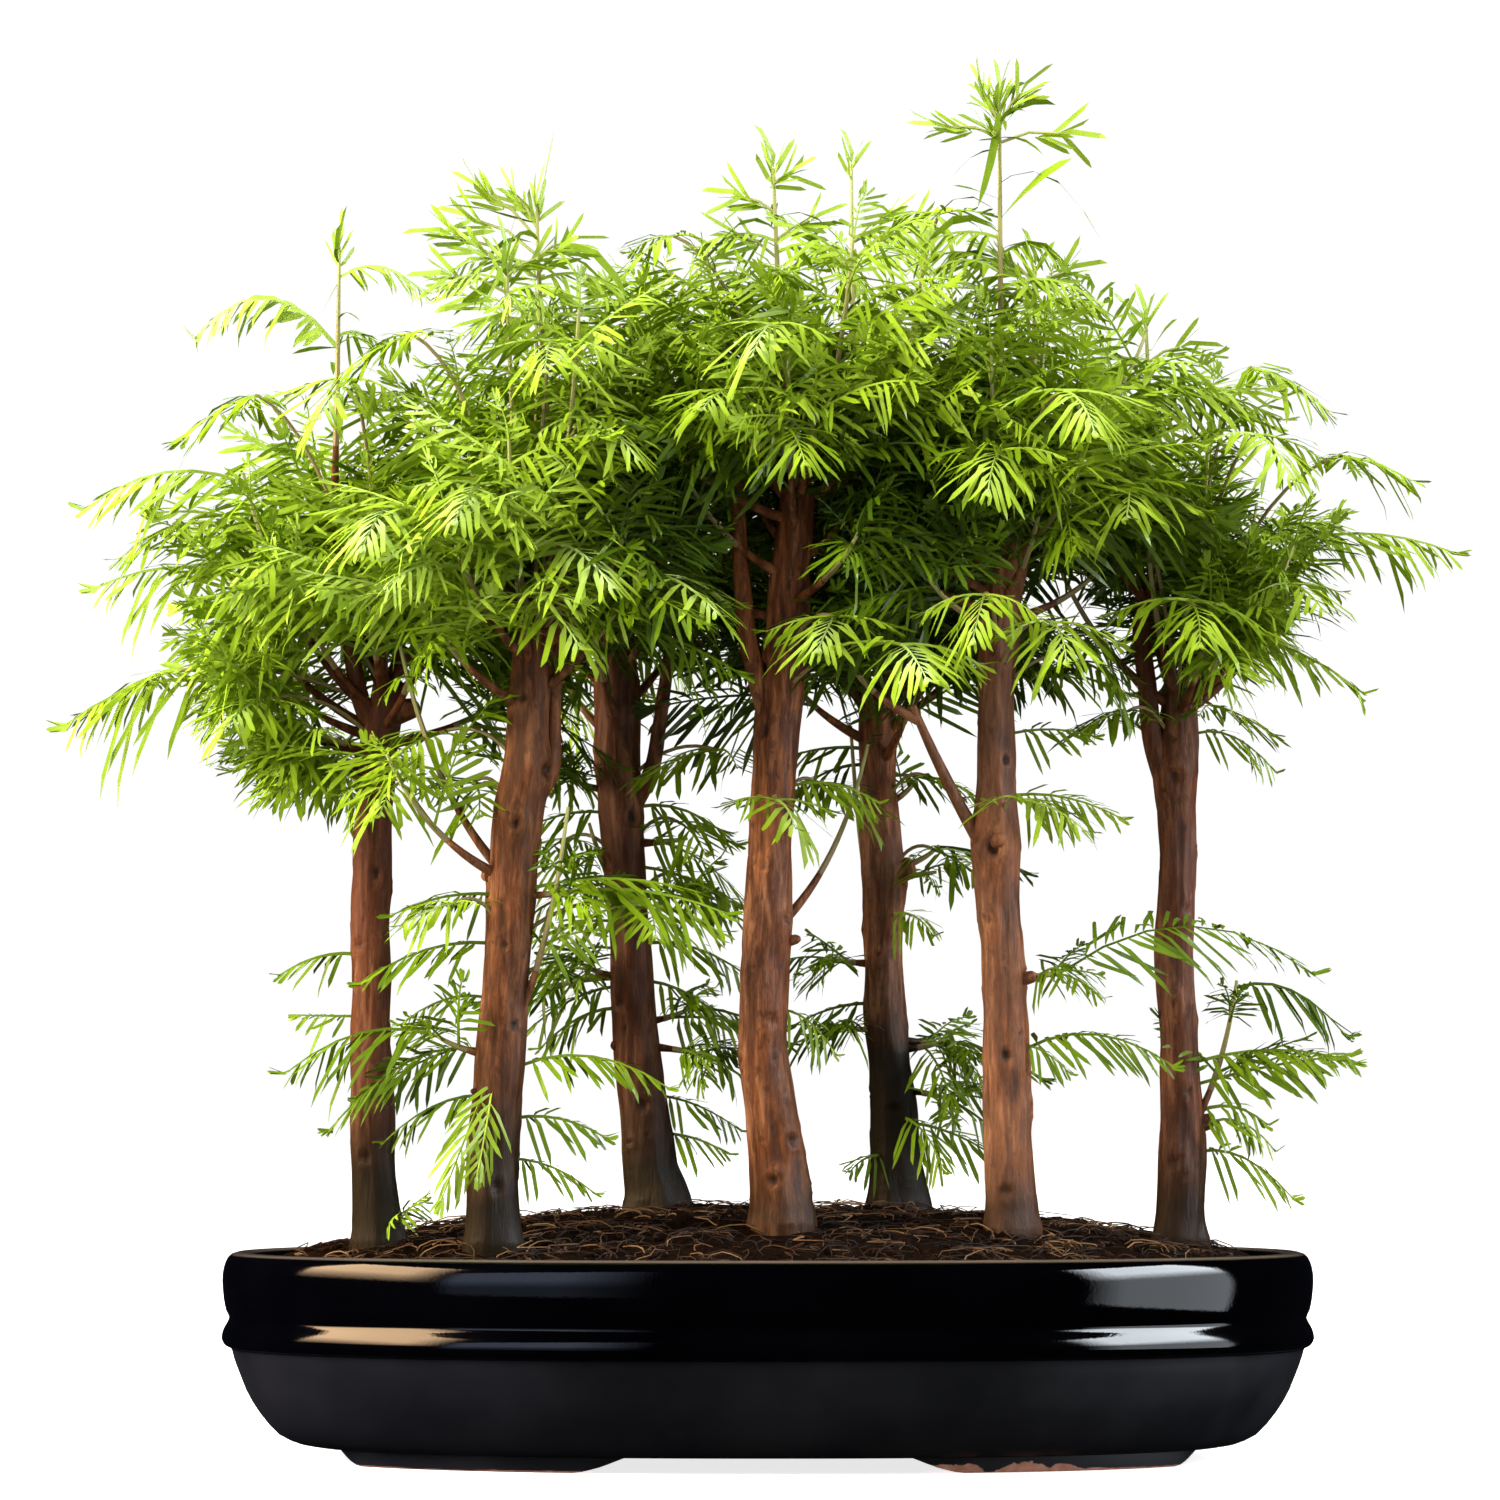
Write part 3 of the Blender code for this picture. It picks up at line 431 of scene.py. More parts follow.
mound = {
    "edgeHeight": 73 * mm,
    "rise": 19.5 * mm,
    "tilt": 0.45,  # how much higher it is at the back
    "roundness": 0.6,  # under 1 it is steep at its edge and flat at its top
    "lip": 13 * mm,
    "ripple": 1.5 * mm,
    "inset": 13.4,
    "middle": 4,  # in mm, the radius of the hole that is closed last
    "rings": 84,
    "sides": 300,
    "sink": 1.6 * mm,
    "fibres": 1500,
    "fibreLength": (6, 26),
    "fibreRadius": (0.16, 0.42),
    "clods": 420,
    "clodRadius": (0.8, 2.3),
}
soilColours = {
    "fine": [(0.36, (0.0006, 0.0002, 0.0)), (0.56, (0.0028, 0.0010, 0.0002)), (0.76, (0.014, 0.006, 0.0018))],
    "reddish": [(0.36, (0.0012, 0.0004, 0.0)), (0.58, (0.006, 0.002, 0.0004)), (0.78, (0.024, 0.010, 0.003))],
    "fibres": [(0, (0.005, 0.0018, 0.0005)), (0.5, (0.030, 0.012, 0.004)), (1, (0.19, 0.10, 0.04))],
}


def soilMaterial():
    material, tree, shader = nodesOf("dark_soil", 0.92, 0.08)
    crumbs = noiseNode(tree, 420, 6)
    patches = rangeOf(tree, noiseNode(tree, 45, 4), 0.4, 0.62, 0, 1)
    fine, reddish = (ramp(tree, crumbs, soilColours[name]) for name in ("fine", "reddish"))
    link(tree, mixed(tree, patches, fine, reddish), shader.inputs["Base Color"])
    bump(tree, shader, crumbs, 0.8, 0.002)
    return material


def fibreMaterial():
    material, tree, shader = nodesOf("root_fibres", 0.8)
    link(tree, ramp(tree, attribute(tree, "tone"), soilColours["fibres"]), shader.inputs["Base Color"])
    return material


def soilHeight(x, y):
    innerLength, innerDepth = trayShape["length"] / 2 - mound["lip"], trayShape["depth"] / 2 - mound["lip"]
    room = max(0, 1 - (x / innerLength) ** 2 - (y / innerDepth) ** 2)
    ripple = math.sin(x * 90 + 1) * math.sin(y * 110) * mound["ripple"]
    rise = mound["rise"] * (1 + mound["tilt"] * y / innerDepth)
    return mound["edgeHeight"] + room ** mound["roundness"] * (rise + ripple)


def makeSoil(look):
    # spun as a flat disc at 70 mm over its underside, which the heights and the noise then shape
    middle = trayShape["length"] / 2 / mm - mound["middle"]
    rings = mound["rings"]
    top = [(mound["inset"] + (middle - mound["inset"]) * (k / rings), 70) for k in range(rings + 1)]
    bm = ovalSpin([(middle, 17), (31, 17), (16.6, 40)] + top, mound["sides"])
    bmesh.ops.holes_fill(bm, edges=bm.edges, sides=0)
    for vert in bm.verts:
        if vert.co.z > 69 * mm:
            spot = vert.co
            lumps = noise.fractal(spot * 150, 0.9, 2.2, 4) * 1.7 * mm
            crumbs = noise.noise(spot * 520) * 0.9 * mm
            vert.co.z = soilHeight(spot.x, spot.y) + lumps + crumbs - mound["sink"]
    outwards(bm)
    newPiece("soil_mound", bm, [look], ["soil"])


def onSoil(draw):
    # an even spread inside the tray's lip
    angle = draw.uniform(0, 2 * math.pi)
    reach = math.sqrt(draw.random()) * 0.93
    edge = oval(angle, 14 * mm)
    x, y = edge.x * reach, edge.y * reach
    return Vector((x, y, soilHeight(x, y)))


def fibre(draw, root, length, radius):
    # one thin root lying on the soil, with both ends in it
    turn = draw.uniform(0, 2 * math.pi)
    way = Vector((math.cos(turn), math.sin(turn), 0))
    sway = way.cross(up) * draw.uniform(-0.45, 0.45)
    arch = draw.uniform(0.02, 0.16) * length
    points = []
    for k in range(6):
        share = k / 5
        curve = math.sin(share * math.pi * draw.choice((1, 2)))
        spot = root + way * length * (share - 0.5) + sway * length * curve
        ground = soilHeight(spot.x, spot.y)
        spot.z = ground + math.sin(share * math.pi) * arch - 1.4 * mm
        if share in (0, 1):
            spot.z = ground - 4 * mm
        points.append((spot, radius * (1 - 0.5 * share)))
    return skin(points, 3, way.cross(up))


def makeFibres(draw, look):
    bm = bmesh.new()
    tone = bm.verts.layers.float.new("tone")
    for i in range(mound["fibres"]):
        root = onSoil(draw)
        length = draw.uniform(*mound["fibreLength"]) * mm
        before = len(bm.verts)
        addTo(bm, fibre(draw, root, length, draw.uniform(*mound["fibreRadius"]) * mm))
        shade = draw.random() ** 1.6
        bm.verts.ensure_lookup_table()
        for k in range(before, len(bm.verts)):
            bm.verts[k][tone] = shade
    newPiece("root_fibres", bm, [look])


def makeClods(draw, look):
    bm = bmesh.new()
    for i in range(mound["clods"]):
        clod = bmesh.new()
        size = draw.uniform(*mound["clodRadius"]) * mm
        bmesh.ops.create_icosphere(clod, subdivisions=1, radius=size)
        for vert in clod.verts:
            vert.co *= 1 + 0.35 * noise.noise(vert.co * 900 + Vector((i, 0, 0)))
        bmesh.ops.scale(clod, vec=(1, draw.uniform(0.6, 1), draw.uniform(0.5, 0.9)), verts=clod.verts)
        bmesh.ops.translate(clod, verts=clod.verts, vec=onSoil(draw) + up * (0.2 * size - 1.8 * mm))
        addTo(bm, clod)
    newPiece("soil_crumbs", bm, [look], smooth=False)


# The wood

# height, x and radius up the trunk; height, x, y from the trunk and radius up each limb, in mm
# knots are height, direction in degrees (270 is the front), size and bulge
# stubs are height, direction, radius and length
trees = {
    "tree_1": {
        "y": -35,
        "trunk": [(84, -139.4, 9.0), (116, -141.8, 8.2), (152, -142.5, 7.5), (190, -142.5, 7.0),
                  (226, -142, 7.1), (252, -141, 7.2), (270, -138, 6.8), (282, -137, 5.8)],
        "limbs": [[(262, -141, 0, 3.6), (278, -147, -2, 3.4), (297, -150.5, -3, 3.0),
                   (312, -154.5, -2, 2.6), (338, -157, 4, 2.0)]],
        "knots": [(112, 250, 5, 0.9), (141, 300, 4, 0.8), (187, 235, 4.5, 0.9), (212, 285, 5, 0.8),
                  (243, 320, 6, 1.6)],
        "stubs": [(268, 345, 4.2, 13), (96, 250, 1.6, 8)],
    },
    "tree_2": {
        "y": -72,
        "trunk": [(82, -98, 10.2), (116, -98.4, 9.3), (160, -94.7, 8.4), (205, -92, 8.8), (232, -90, 8.6),
                  (250, -87, 8.6), (270, -86, 7.6), (301, -84, 7.0)],
        "limbs": [[(240, -84, 2, 4.0), (252, -78, 2, 3.6), (276, -77.4, 2, 3.2), (300, -76, 3, 2.8),
                   (334, -74, 6, 2.2)]],
        "knots": [(102, 280, 5, 0.9), (129, 240, 5, 1.1), (158, 300, 4.5, 0.9), (186, 265, 5, 1.0),
                  (205, 190, 6, 1.6), (228, 268, 4.5, 1.2), (247, 335, 7, 1.8), (272, 255, 4, 0.7)],
        "stubs": [(208, 180, 2.6, 11), (133, 205, 1.5, 10)],
    },
    "tree_3": {
        "y": 55,
        "trunk": [(96, -40, 12.0), (108, -42.2, 10.2), (125, -43.8, 9.3), (160, -48, 8.2),
                  (205, -50.5, 7.9), (250, -53.7, 8.2), (277, -54, 8.4), (304, -54.8, 6.8)],
        "limbs": [[(234, -50, 0, 3.4), (250, -42, -3, 3.0), (269, -38.6, -5, 2.7), (296, -35, -6, 2.2)]],
        "knots": [(130, 270, 5, 1.0), (168, 230, 5, 1.2), (236, 300, 6, 1.5), (258, 200, 6, 1.4)],
        "stubs": [(150, 195, 2.2, 10)],
    },
    "tree_4": {
        "y": -48,
        "trunk": [(88, 5.6, 11.0), (107, 4.3, 10.2), (125, 1.8, 9.5), (151, -1.6, 9.0), (187, -0.2, 8.8),
                  (223, 1.1, 7.9), (277, 4.5, 8.8), (313, 7.7, 7.8), (352, 11.7, 6.4)],
        "limbs": [[(270, 0, -1, 3.8), (297, -7, -3, 3.4), (320, -9.2, -4, 3.1), (344, -10.6, -4, 2.8),
                   (374, -12, -3, 2.2)]],
        "knots": [(104, 255, 5, 1.0), (118, 310, 5, 1.1), (146, 200, 4, 1.0), (160, 290, 5, 0.9),
                  (176, 240, 5, 1.0), (196, 320, 4, 1.1), (214, 262, 5, 0.9), (236, 285, 4, 0.8),
                  (262, 240, 5, 1.0), (284, 215, 7, 1.4)],
        "stubs": [(186, 350, 2.2, 12), (142, 190, 1.6, 9)],
    },
    "tree_5": {
        "y": 62,
        "trunk": [(96, 46.9, 11.2), (115, 45.8, 9.4), (133, 45, 9.0), (160, 42.6, 8.0), (187, 41.5, 7.6),
                  (214, 41.5, 8.2), (241, 39.7, 7.2), (276, 39.3, 7.4)],
        "limbs": [[(262, 37, 2, 3.2), (290, 33, 5, 2.8), (330, 32, 8, 2.2)]],
        "knots": [(128, 270, 5, 1.0), (214, 330, 6, 1.8), (236, 240, 4, 0.8)],
        "stubs": [(215, 355, 4.6, 12)],
    },
    "tree_6": {
        "y": -40,
        "trunk": [(87, 87.2, 9.8), (115, 86.3, 8.9), (151, 85.4, 8.5), (187, 84.3, 7.9), (222, 82.1, 9.0),
                  (248, 82.5, 7.2), (277, 82.1, 6.9), (306, 84, 7.0), (334, 85, 5.4)],
        "limbs": [[(310, 87, 1, 3.8), (330, 92, 2, 3.2), (352, 94, 3, 2.5), (376, 95, 4, 2.0)],
                  [(222, 78, 0, 2.8), (240, 68, -4, 2.2), (256, 60, -7, 1.9), (274, 52, -9, 1.6)]],
        "knots": [(100, 260, 5, 0.9), (129, 345, 5, 1.8), (148, 270, 5, 0.9), (175, 345, 5, 1.6),
                  (196, 240, 4.5, 0.9), (221, 262, 7, 2.0), (224, 215, 6, 1.4), (252, 300, 4, 0.8),
                  (290, 250, 4, 0.7)],
        "stubs": [(173, 352, 2.6, 12), (222, 275, 3.2, 10.5)],
    },
    "tree_7": {
        "y": 0,
        "trunk": [(85, 147.9, 9.4), (115, 148.6, 8.5), (151, 147.7, 7.5), (187, 146.6, 7.0),
                  (223, 147.2, 7.0), (250, 146.8, 8.2), (262, 147.5, 7.3), (279, 147.9, 6.4)],
        "limbs": [[(244, 144, -1, 4.4), (262, 138.6, -2, 4.0), (282, 136.6, -2, 3.6),
                   (305, 134.6, -1, 3.2), (326, 140.5, 2, 2.7), (348, 143.5, 4, 2.2)]],
        "knots": [(110, 250, 5, 0.9), (135, 290, 4, 0.9), (166, 255, 4.5, 0.9), (200, 300, 4, 0.8),
                  (248, 265, 6, 1.2)],
        "stubs": [(122, 5, 3.4, 12)],
    },
}
# stem (0 is the trunk), height the twig leaves at, direction, reach and rise of its shoot, longest frond
sprays = {
    "tree_1": [(0, 254, 186, 55, 26, 60), (0, 262, 160, 60, 61, 64), (0, 266, 188, 50, 88, 62),
               (1, 318, 98, 50, 34, 61), (0, 274, 266, 50, 40, 62), (0, 278, 345, 34, 92, 58),
               (1, 332, 20, 2, 101, 40)],
    "tree_2": [(0, 208, 172, 42, 92, 58), (0, 208, 200, 46, 44, 58), (1, 326, 186, 9, 118, 40),
               (0, 288, 312, 50, 40, 64), (0, 284, 236, 50, 50, 64), (1, 312, 100, 50, 70, 64),
               (0, 203, 350, 23, 2, 42), (0, 147, 190, 23, 8, 36)],
    "tree_3": [(1, 290, 30, 30, 34, 64), (0, 290, 92, 48, 44, 65), (0, 296, 160, 48, 66, 64),
               (0, 300, 345, 18, 134, 52), (0, 176, 188, 21, 8, 34), (0, 160, 12, 21, 6, 34)],
    "tree_4": [(1, 366, 170, 34, 40, 61), (0, 336, 210, 52, 26, 64), (0, 340, 118, 52, 60, 64),
               (0, 340, 48, 48, 60, 64), (0, 344, 345, 50, 36, 64), (0, 344, 276, 48, 28, 64),
               (0, 345, 180, 9, 114, 38)],
    "tree_5": [(0, 270, 108, 56, 60, 67), (0, 272, 62, 40, 112, 61), (0, 268, 12, 46, 50, 64),
               (0, 254, 300, 36, 50, 61), (1, 328, 200, 2, 150, 40), (0, 216, 8, 21, 10, 32),
               (0, 150, 350, 21, 4, 34)],
    "tree_6": [(2, 266, 186, 30, 30, 61), (0, 310, 188, 52, 50, 64), (0, 322, 300, 50, 30, 64),
               (1, 356, 22, 46, 50, 64), (0, 326, 100, 52, 64, 64), (0, 329, 180, 1, 157, 40),
               (0, 175, 354, 20, 2, 34)],
    "tree_7": [(1, 342, 190, 6, 67, 36), (0, 270, 8, 50, 68, 64), (0, 268, 336, 18, 34, 64),
               (0, 272, 300, 40, 42, 64), (0, 270, 78, 50, 60, 65), (1, 312, 236, 44, 40, 62),
               (0, 117, 355, 20, 58, 36)],
}
# more shoots by rule: from height, to height, how many, reach, rise, frond length, first direction
crownFill = {
    "tree_1": (256, 280, 9, (52, 20), (16, 96), 56, 20),
    "tree_2": (262, 300, 9, (48, 22), (28, 116), 58, 70),
    "tree_3": (262, 303, 8, (46, 22), (28, 120), 58, 120),
    "tree_4": (300, 346, 10, (50, 22), (14, 90), 58, 160),
    "tree_5": (262, 275, 9, (46, 22), (44, 150), 58, 200),
    "tree_6": (296, 330, 10, (50, 22), (14, 96), 58, 240),
    "tree_7": (270, 278, 9, (52, 22), (34, 112), 56, 280),
}
# thin shoots that stand out low on the trunks: stem, height, direction, reach, rise, frond length
lowShoots = {
    "tree_1": [(0, 250, 182, 24, 2, 42), (0, 256, 215, 26, 6, 40), (0, 248, 140, 26, 4, 42)],
    "tree_2": [(0, 150, 345, 24, 84, 22)],
    "tree_3": [(0, 226, 350, 24, 2, 32), (0, 208, 5, 24, -2, 34), (0, 152, 350, 26, -4, 32),
               (0, 178, 196, 26, -4, 32), (0, 210, 170, 14, 24, 30), (0, 245, 190, 20, 6, 34)],
    "tree_4": [(0, 190, 20, 38, 68, 26)],
    "tree_5": [(0, 186, 184, 12, 84, 24), (0, 182, 182, 20, 2, 28), (0, 158, 190, 14, 0, 30),
               (0, 136, 345, 22, -4, 30), (0, 154, 5, 24, -2, 30), (0, 214, 350, 20, 2, 30),
               (0, 240, 20, 16, 12, 28)],
    "tree_7": [(0, 262, 182, 12, 2, 30)],
}
woodRule = {
    "trunkSides": 52,
    "limbSides": 18,
    "stubSides": 14,
    "twigSides": 7,
    "footAbove": 3 * mm,  # where the trunk's first point is over the soil
    "buried": 12 * mm,
    "topCurve": (0.93, 0.8, 0.55, 0.28),  # the sawn top, a little rounded at its edge
    "topRise": 1.4 * mm,
    "stubCurve": [(0, 1.3), (0.6, 1.0), (0.88, 0.85), (1, 0.35)],
    "smallKnots": 16,
    # a shoot is wood from the trunk out to this share of its path, and green from there on
    "share": 0.42,
    "twigRadius": (2.2 * mm, 1.2 * mm),
}
# how many metres each pattern of the bark takes to change up the stem, and how far all of it is sunk in mm
barkShape = {"strip": 0.045, "flake": 0.03, "fibre": 0.008, "lump": 0.022, "sink": 0.45}
barkColours = {
    "red": [(0.30, (0.026, 0.006, 0.0015)), (0.44, (0.10, 0.028, 0.007)), (0.56, (0.22, 0.070, 0.020)),
            (0.72, (0.44, 0.19, 0.070))],
    "grey": [(0.30, (0.026, 0.009, 0.004)), (0.5, (0.090, 0.036, 0.018)), (0.70, (0.28, 0.15, 0.09))],
    "strips": (0.42, 0.18, 0.075),
    "flakes": (0.035, 0.012, 0.005),
    "stains": (0.045, 0.015, 0.005),
    # painted shade in the bark's cracks
    "hollowShadeColour": (0.022, 0.009, 0.005),
    # the foot's colour: moss and painted shade
    "foot": (0.010, 0.006, 0.002),
}
# colour and how much of it there is in each tree's bark, its own tone with painted shade on the trees at the
# back, how dark the foot is with moss and painted shade, and up to which height in mm
barkTintsAndShade = {
    "tree_1": ((0.060, 0.015, 0.005), 0.56, 1.2, 154),
    "tree_2": ((0.070, 0.028, 0.008), 0.30, 1.0, 166),
    "tree_3": ((0.040, 0.011, 0.003), 0.62, 1.2, 160),
    "tree_4": ((0.20, 0.070, 0.028), 0.12, 0.8, 110),
    "tree_5": ((0.075, 0.030, 0.009), 0.30, 2.2, 184),
    "tree_6": ((0.21, 0.10, 0.054), 0.30, 0.8, 110),
    "tree_7": ((0.050, 0.017, 0.009), 0.52, 0.9, 122),
}


def barkMaterial(name):
    tintAndShade, share, footMossAndShade, footTop = barkTintsAndShade[name]
    material, tree, shader = nodesOf(name + "_bark", specular=0.24)
    fibrous = noiseNode(tree, 420, 8, (1, 1, 0.13), 0.7)
    strips = noiseNode(tree, 130, 5, (1, 1, 0.2), 0.65)
    patches = noiseNode(tree, 48, 6, (1, 1, 0.45), 0.65)
    flakes = noiseNode(tree, 300, 5, (1, 1, 0.6))
    stains = noiseNode(tree, 32, 5, (1, 1, 0.4), 0.6)
    colour, grey = (ramp(tree, fibrous, barkColours[name]) for name in ("red", "grey"))
    for pattern, low, high, most, tone in ((patches, 0.50, 0.62, 0.6, grey),
                                           (strips, 0.55, 0.63, 0.55, barkColours["strips"]),
                                           (flakes, 0.58, 0.65, 0.65, barkColours["flakes"]),
                                           (stains, 0.49, 0.62, 0.5, barkColours["stains"])):
        colour = mixed(tree, rangeOf(tree, pattern, low, high, 0, most), colour, tone)
    # each tree's own tone, with painted shade on the trees at the back
    colour = mixed(tree, share, colour, tintAndShade)
    # painted shade where the relief sinks into cracks and knots
    paintedHollowShade = rangeOf(tree, attribute(tree, "relief"), -1.5, -0.5, 1, 0)
    colour = mixed(tree, paintedHollowShade, colour, barkColours["hollowShadeColour"])
    # darker towards the foot: moss and painted shade
    foot = rangeOf(tree, coordinate(tree, "Z"), 0.090, footTop * mm, footMossAndShade, 0)
    link(tree, mixed(tree, foot, colour, barkColours["foot"]), shader.inputs["Base Color"])
    link(tree, rangeOf(tree, strips, 0.35, 0.65, 0.32, 0.55), shader.inputs["Roughness"])
    bump(tree, shader, fibrous, 0.7, 0.0009)
    return material


def trunkPoints(tree):
    points = [trueSpot(x, height, tree["y"]) for height, x, radius in tree["trunk"]]
    points[0].z = soilHeight(points[0].x, points[0].y) + woodRule["footAbove"]
    return points


def limbPoints(tree, limb):
    return [trueSpot(x, height, tree["y"] + y) for height, x, y, radius in tree["limbs"][limb]]


def onStem(tree, stem, height):
    points = limbPoints(tree, stem - 1) if stem else trunkPoints(tree)
    for low, high in zip(points, points[1:]):
        if height <= high.z:
            return low.lerp(high, (height - low.z) / (high.z - low.z))
    return points[-1]


def barkRelief(seed, scale=1.0, knots=(), flareHeight=None):
    # strips that peel along the stem, fine fibres, lumps and the knots
    shift = Vector((seed * 7.3, seed * 3.1, seed * 5.7))

    def relief(angle, point, radius):
        around = Vector((math.cos(angle), math.sin(angle), 0))
        along = point.z
        strip = abs(noise.noise(around * 2.6 + Vector((0, 0, along / barkShape["strip"])) + shift))
        flake = noise.noise(around * 1.7 + Vector((0, 0, along / barkShape["flake"])) - shift)
        fine = noise.noise(around * 8 + Vector((0, 0, along / barkShape["fibre"])) + shift)
        lump = noise.noise(around * 0.8 + Vector((0, 0, along / barkShape["lump"])) + shift * 2)
        stand = (strip * 1.9 - 0.55) * 0.62 + smoothstep(0.06, 0.16, flake) * 0.34 + fine * 0.13 + lump * 0.95
        stand = stand * scale - barkShape["sink"] * scale
        for height, way, size, bulge in knots:
            turn = (angle - math.radians(way) + math.pi) % (2 * math.pi) - math.pi
            far = ((along / mm - height) / size) ** 2 + (turn * radius / mm / size) ** 2
            if far < 6:
                ring = 0.2 * bulge * math.cos(math.sqrt(far) * 9) * math.exp(-far * 1.6)
                stand += bulge * math.exp(-far * 1.1) - 2.1 * bulge * math.exp(-far * 6) + ring
        if flareHeight is not None:
            lobes = 1 + 0.35 * math.cos(3 * angle + seed) + 0.25 * math.cos(5 * angle + 2 * seed)
            stand += 1.5 * lobes * math.exp(-max(0, along - flareHeight) / (5.5 * mm))
        return stand * mm

    return relief


class Shoot:
    def __init__(self, tree, spray):
        stem, leave, azimuth, reach, rise, self.frondLength = spray
        outward = Vector((math.cos(math.radians(azimuth)), math.sin(math.radians(azimuth)), 0))
        self.start = onStem(tree, stem, leave * mm)
        self.bend = self.start + outward * reach * 0.7 * mm + up * rise * 0.3 * mm
        self.end = self.start + outward * reach * mm + up * rise * mm

    def at(self, share):
        return self.start.lerp(self.bend, share).lerp(self.bend.lerp(self.end, share), share)

    def along(self, share):
        return (self.bend - self.start).lerp(self.end - self.bend, share).normalized()


def aimed(azimuth, rise):
    way = math.radians(azimuth)
    return (Vector((math.cos(way), math.sin(way), 0)) + up * rise).normalized()


def makeWood(name, tree, number):
    points = trunkPoints(tree)
    radii = [radius * mm for height, x, radius in tree["trunk"]]
    ground = points[0].z - woodRule["footAbove"]
    points.insert(0, points[0] - up * woodRule["buried"])
    radii.insert(0, radii[0])
    path = smoothPath(points, radii, 22)
    top, topRadius = path[-1]
    for share in woodRule["topCurve"]:
        path.append((top + up * math.sqrt(1 - share * share) * woodRule["topRise"], topRadius * share))
    draw = random.Random(number + 60)
    small = [(draw.uniform(ground / mm + 8, top.z / mm), draw.uniform(0, 360), draw.uniform(1.7, 2.8),
              draw.uniform(0.5, 1.0)) for k in range(woodRule["smallKnots"])]
    bm = skin(path, woodRule["trunkSides"], relief=barkRelief(number, 1.0, tree["knots"] + small, ground))
    for k, limb in enumerate(tree["limbs"]):
        path = smoothPath(limbPoints(tree, k), [row[3] * mm for row in limb], 14)
        addTo(bm, skin(path, woodRule["limbSides"], relief=barkRelief(number + 10 + k, 0.34)))
    for height, way, radius, length in tree["stubs"]:
        start = onStem(tree, 0, height * mm)
        outward = Vector((math.cos(math.radians(way)), math.sin(math.radians(way)), 0.25))
        path = smoothPath([start + outward * length * share * mm for share, thick in woodRule["stubCurve"]],
                          [radius * thick * mm for share, thick in woodRule["stubCurve"]], 5)
        addTo(bm, skin(path, woodRule["stubSides"], up, barkRelief(number + 20, 0.3)))
    first, last = woodRule["twigRadius"]
    for k, spray in enumerate(sprays[name] + extraShoots[name]):
        shoot = Shoot(tree, spray)
        path = [(shoot.at(woodRule["share"] * i / 8), first + (last - first) * i / 8) for i in range(9)]
        addTo(bm, skin(path, woodRule["twigSides"], up, barkRelief(number + 30 + k, 0.12)))
    newPiece(name + "_trunk", bm, [barkMaterial(name)], [name + "_wood"])


def fillShoots(name, tree):
    # the shoots that the CAD leaves out, by rule round the crown
    draw = random.Random(tree["y"] + 400)
    low, high, count, reach, rise, length, turn = crownFill[name]
    found = []
    for k in range(count):
        share = (k + 0.5) / count
        outTo = (reach[0] + (reach[1] - reach[0]) * share) * draw.uniform(0.85, 1.15)
        upTo = (rise[0] + (rise[1] - rise[0]) * share) * draw.uniform(0.8, 1.2)
        height = low + (high - low) * share
        found.append((0, height, turn + k * 137.5, outTo, upTo, length * draw.uniform(0.9, 1.1)))
    return found


# The fronds

frondRule = {
    "bareRoot": 0.08,
    "halfWidth": 0.94 * mm,
    "thickness": 0.5 * mm,
    "stations": [(0, 0.25), (0.26, 0.98), (0.84, 0.86), (1, 0)],  # shares of a leaflet's length and width
    "strapStations": [(0, 0.35), (0.12, 0.9), (0.35, 1.45), (0.6, 1.5), (0.84, 1.1), (1, 0)],
    "fullFrom": 64 * mm,  # a shorter frond has shorter leaflets
    "fullLeaflet": 18 * mm,  # a shorter leaflet is narrower
}
# three sorts of frond: lengths in mm, the longest leaflet, their distance along the rib, width and first seed
frondSorts = {
    "crown": ((34, 44, 54, 66, 80, 112), 25 * mm, 4.3 * mm, 1.0, 0),
    "low": ((24, 34, 44, 58), 17 * mm, 3.4 * mm, 1.15, 20),
    "fan": ((26, 32, 40), 25 * mm, 3.7 * mm, 1.35, 40),
}
# colours from old to fresh, and with them from painted shade to painted light
leafColours = [(0.0, (0.030, 0.062, 0.002)), (0.25, (0.120, 0.205, 0.003)), (0.5, (0.245, 0.37, 0.014)),
               (0.75, (0.31, 0.45, 0.058)), (1.0, (0.36, 0.50, 0.17))]
shootColours = [(0, (0.13, 0.062, 0.03)), (0.4, (0.24, 0.20, 0.07)), (1, (0.36, 0.44, 0.12))]


def leafMaterial():
    material, tree, shader = nodesOf("fresh_leaf", 0.38, 0.36)
    mottle = ramp(tree, noiseNode(tree, 160, 3), [(0.3, (0.35, 0.35, 0.35)), (0.7, (1, 1, 1))])
    # the attribute holds how fresh a leaf is, with painted light and shade mixed in
    colour = mixed(tree, 0.25, ramp(tree, attribute(tree, "freshAndShade"), leafColours), mottle, "MULTIPLY")
    link(tree, colour, shader.inputs["Base Color"])
    return material


def stemMaterial():
    material, tree, shader = nodesOf("green_shoot", 0.5)
    link(tree, ramp(tree, attribute(tree, "freshAndShade"), shootColours), shader.inputs["Base Color"])
    return material


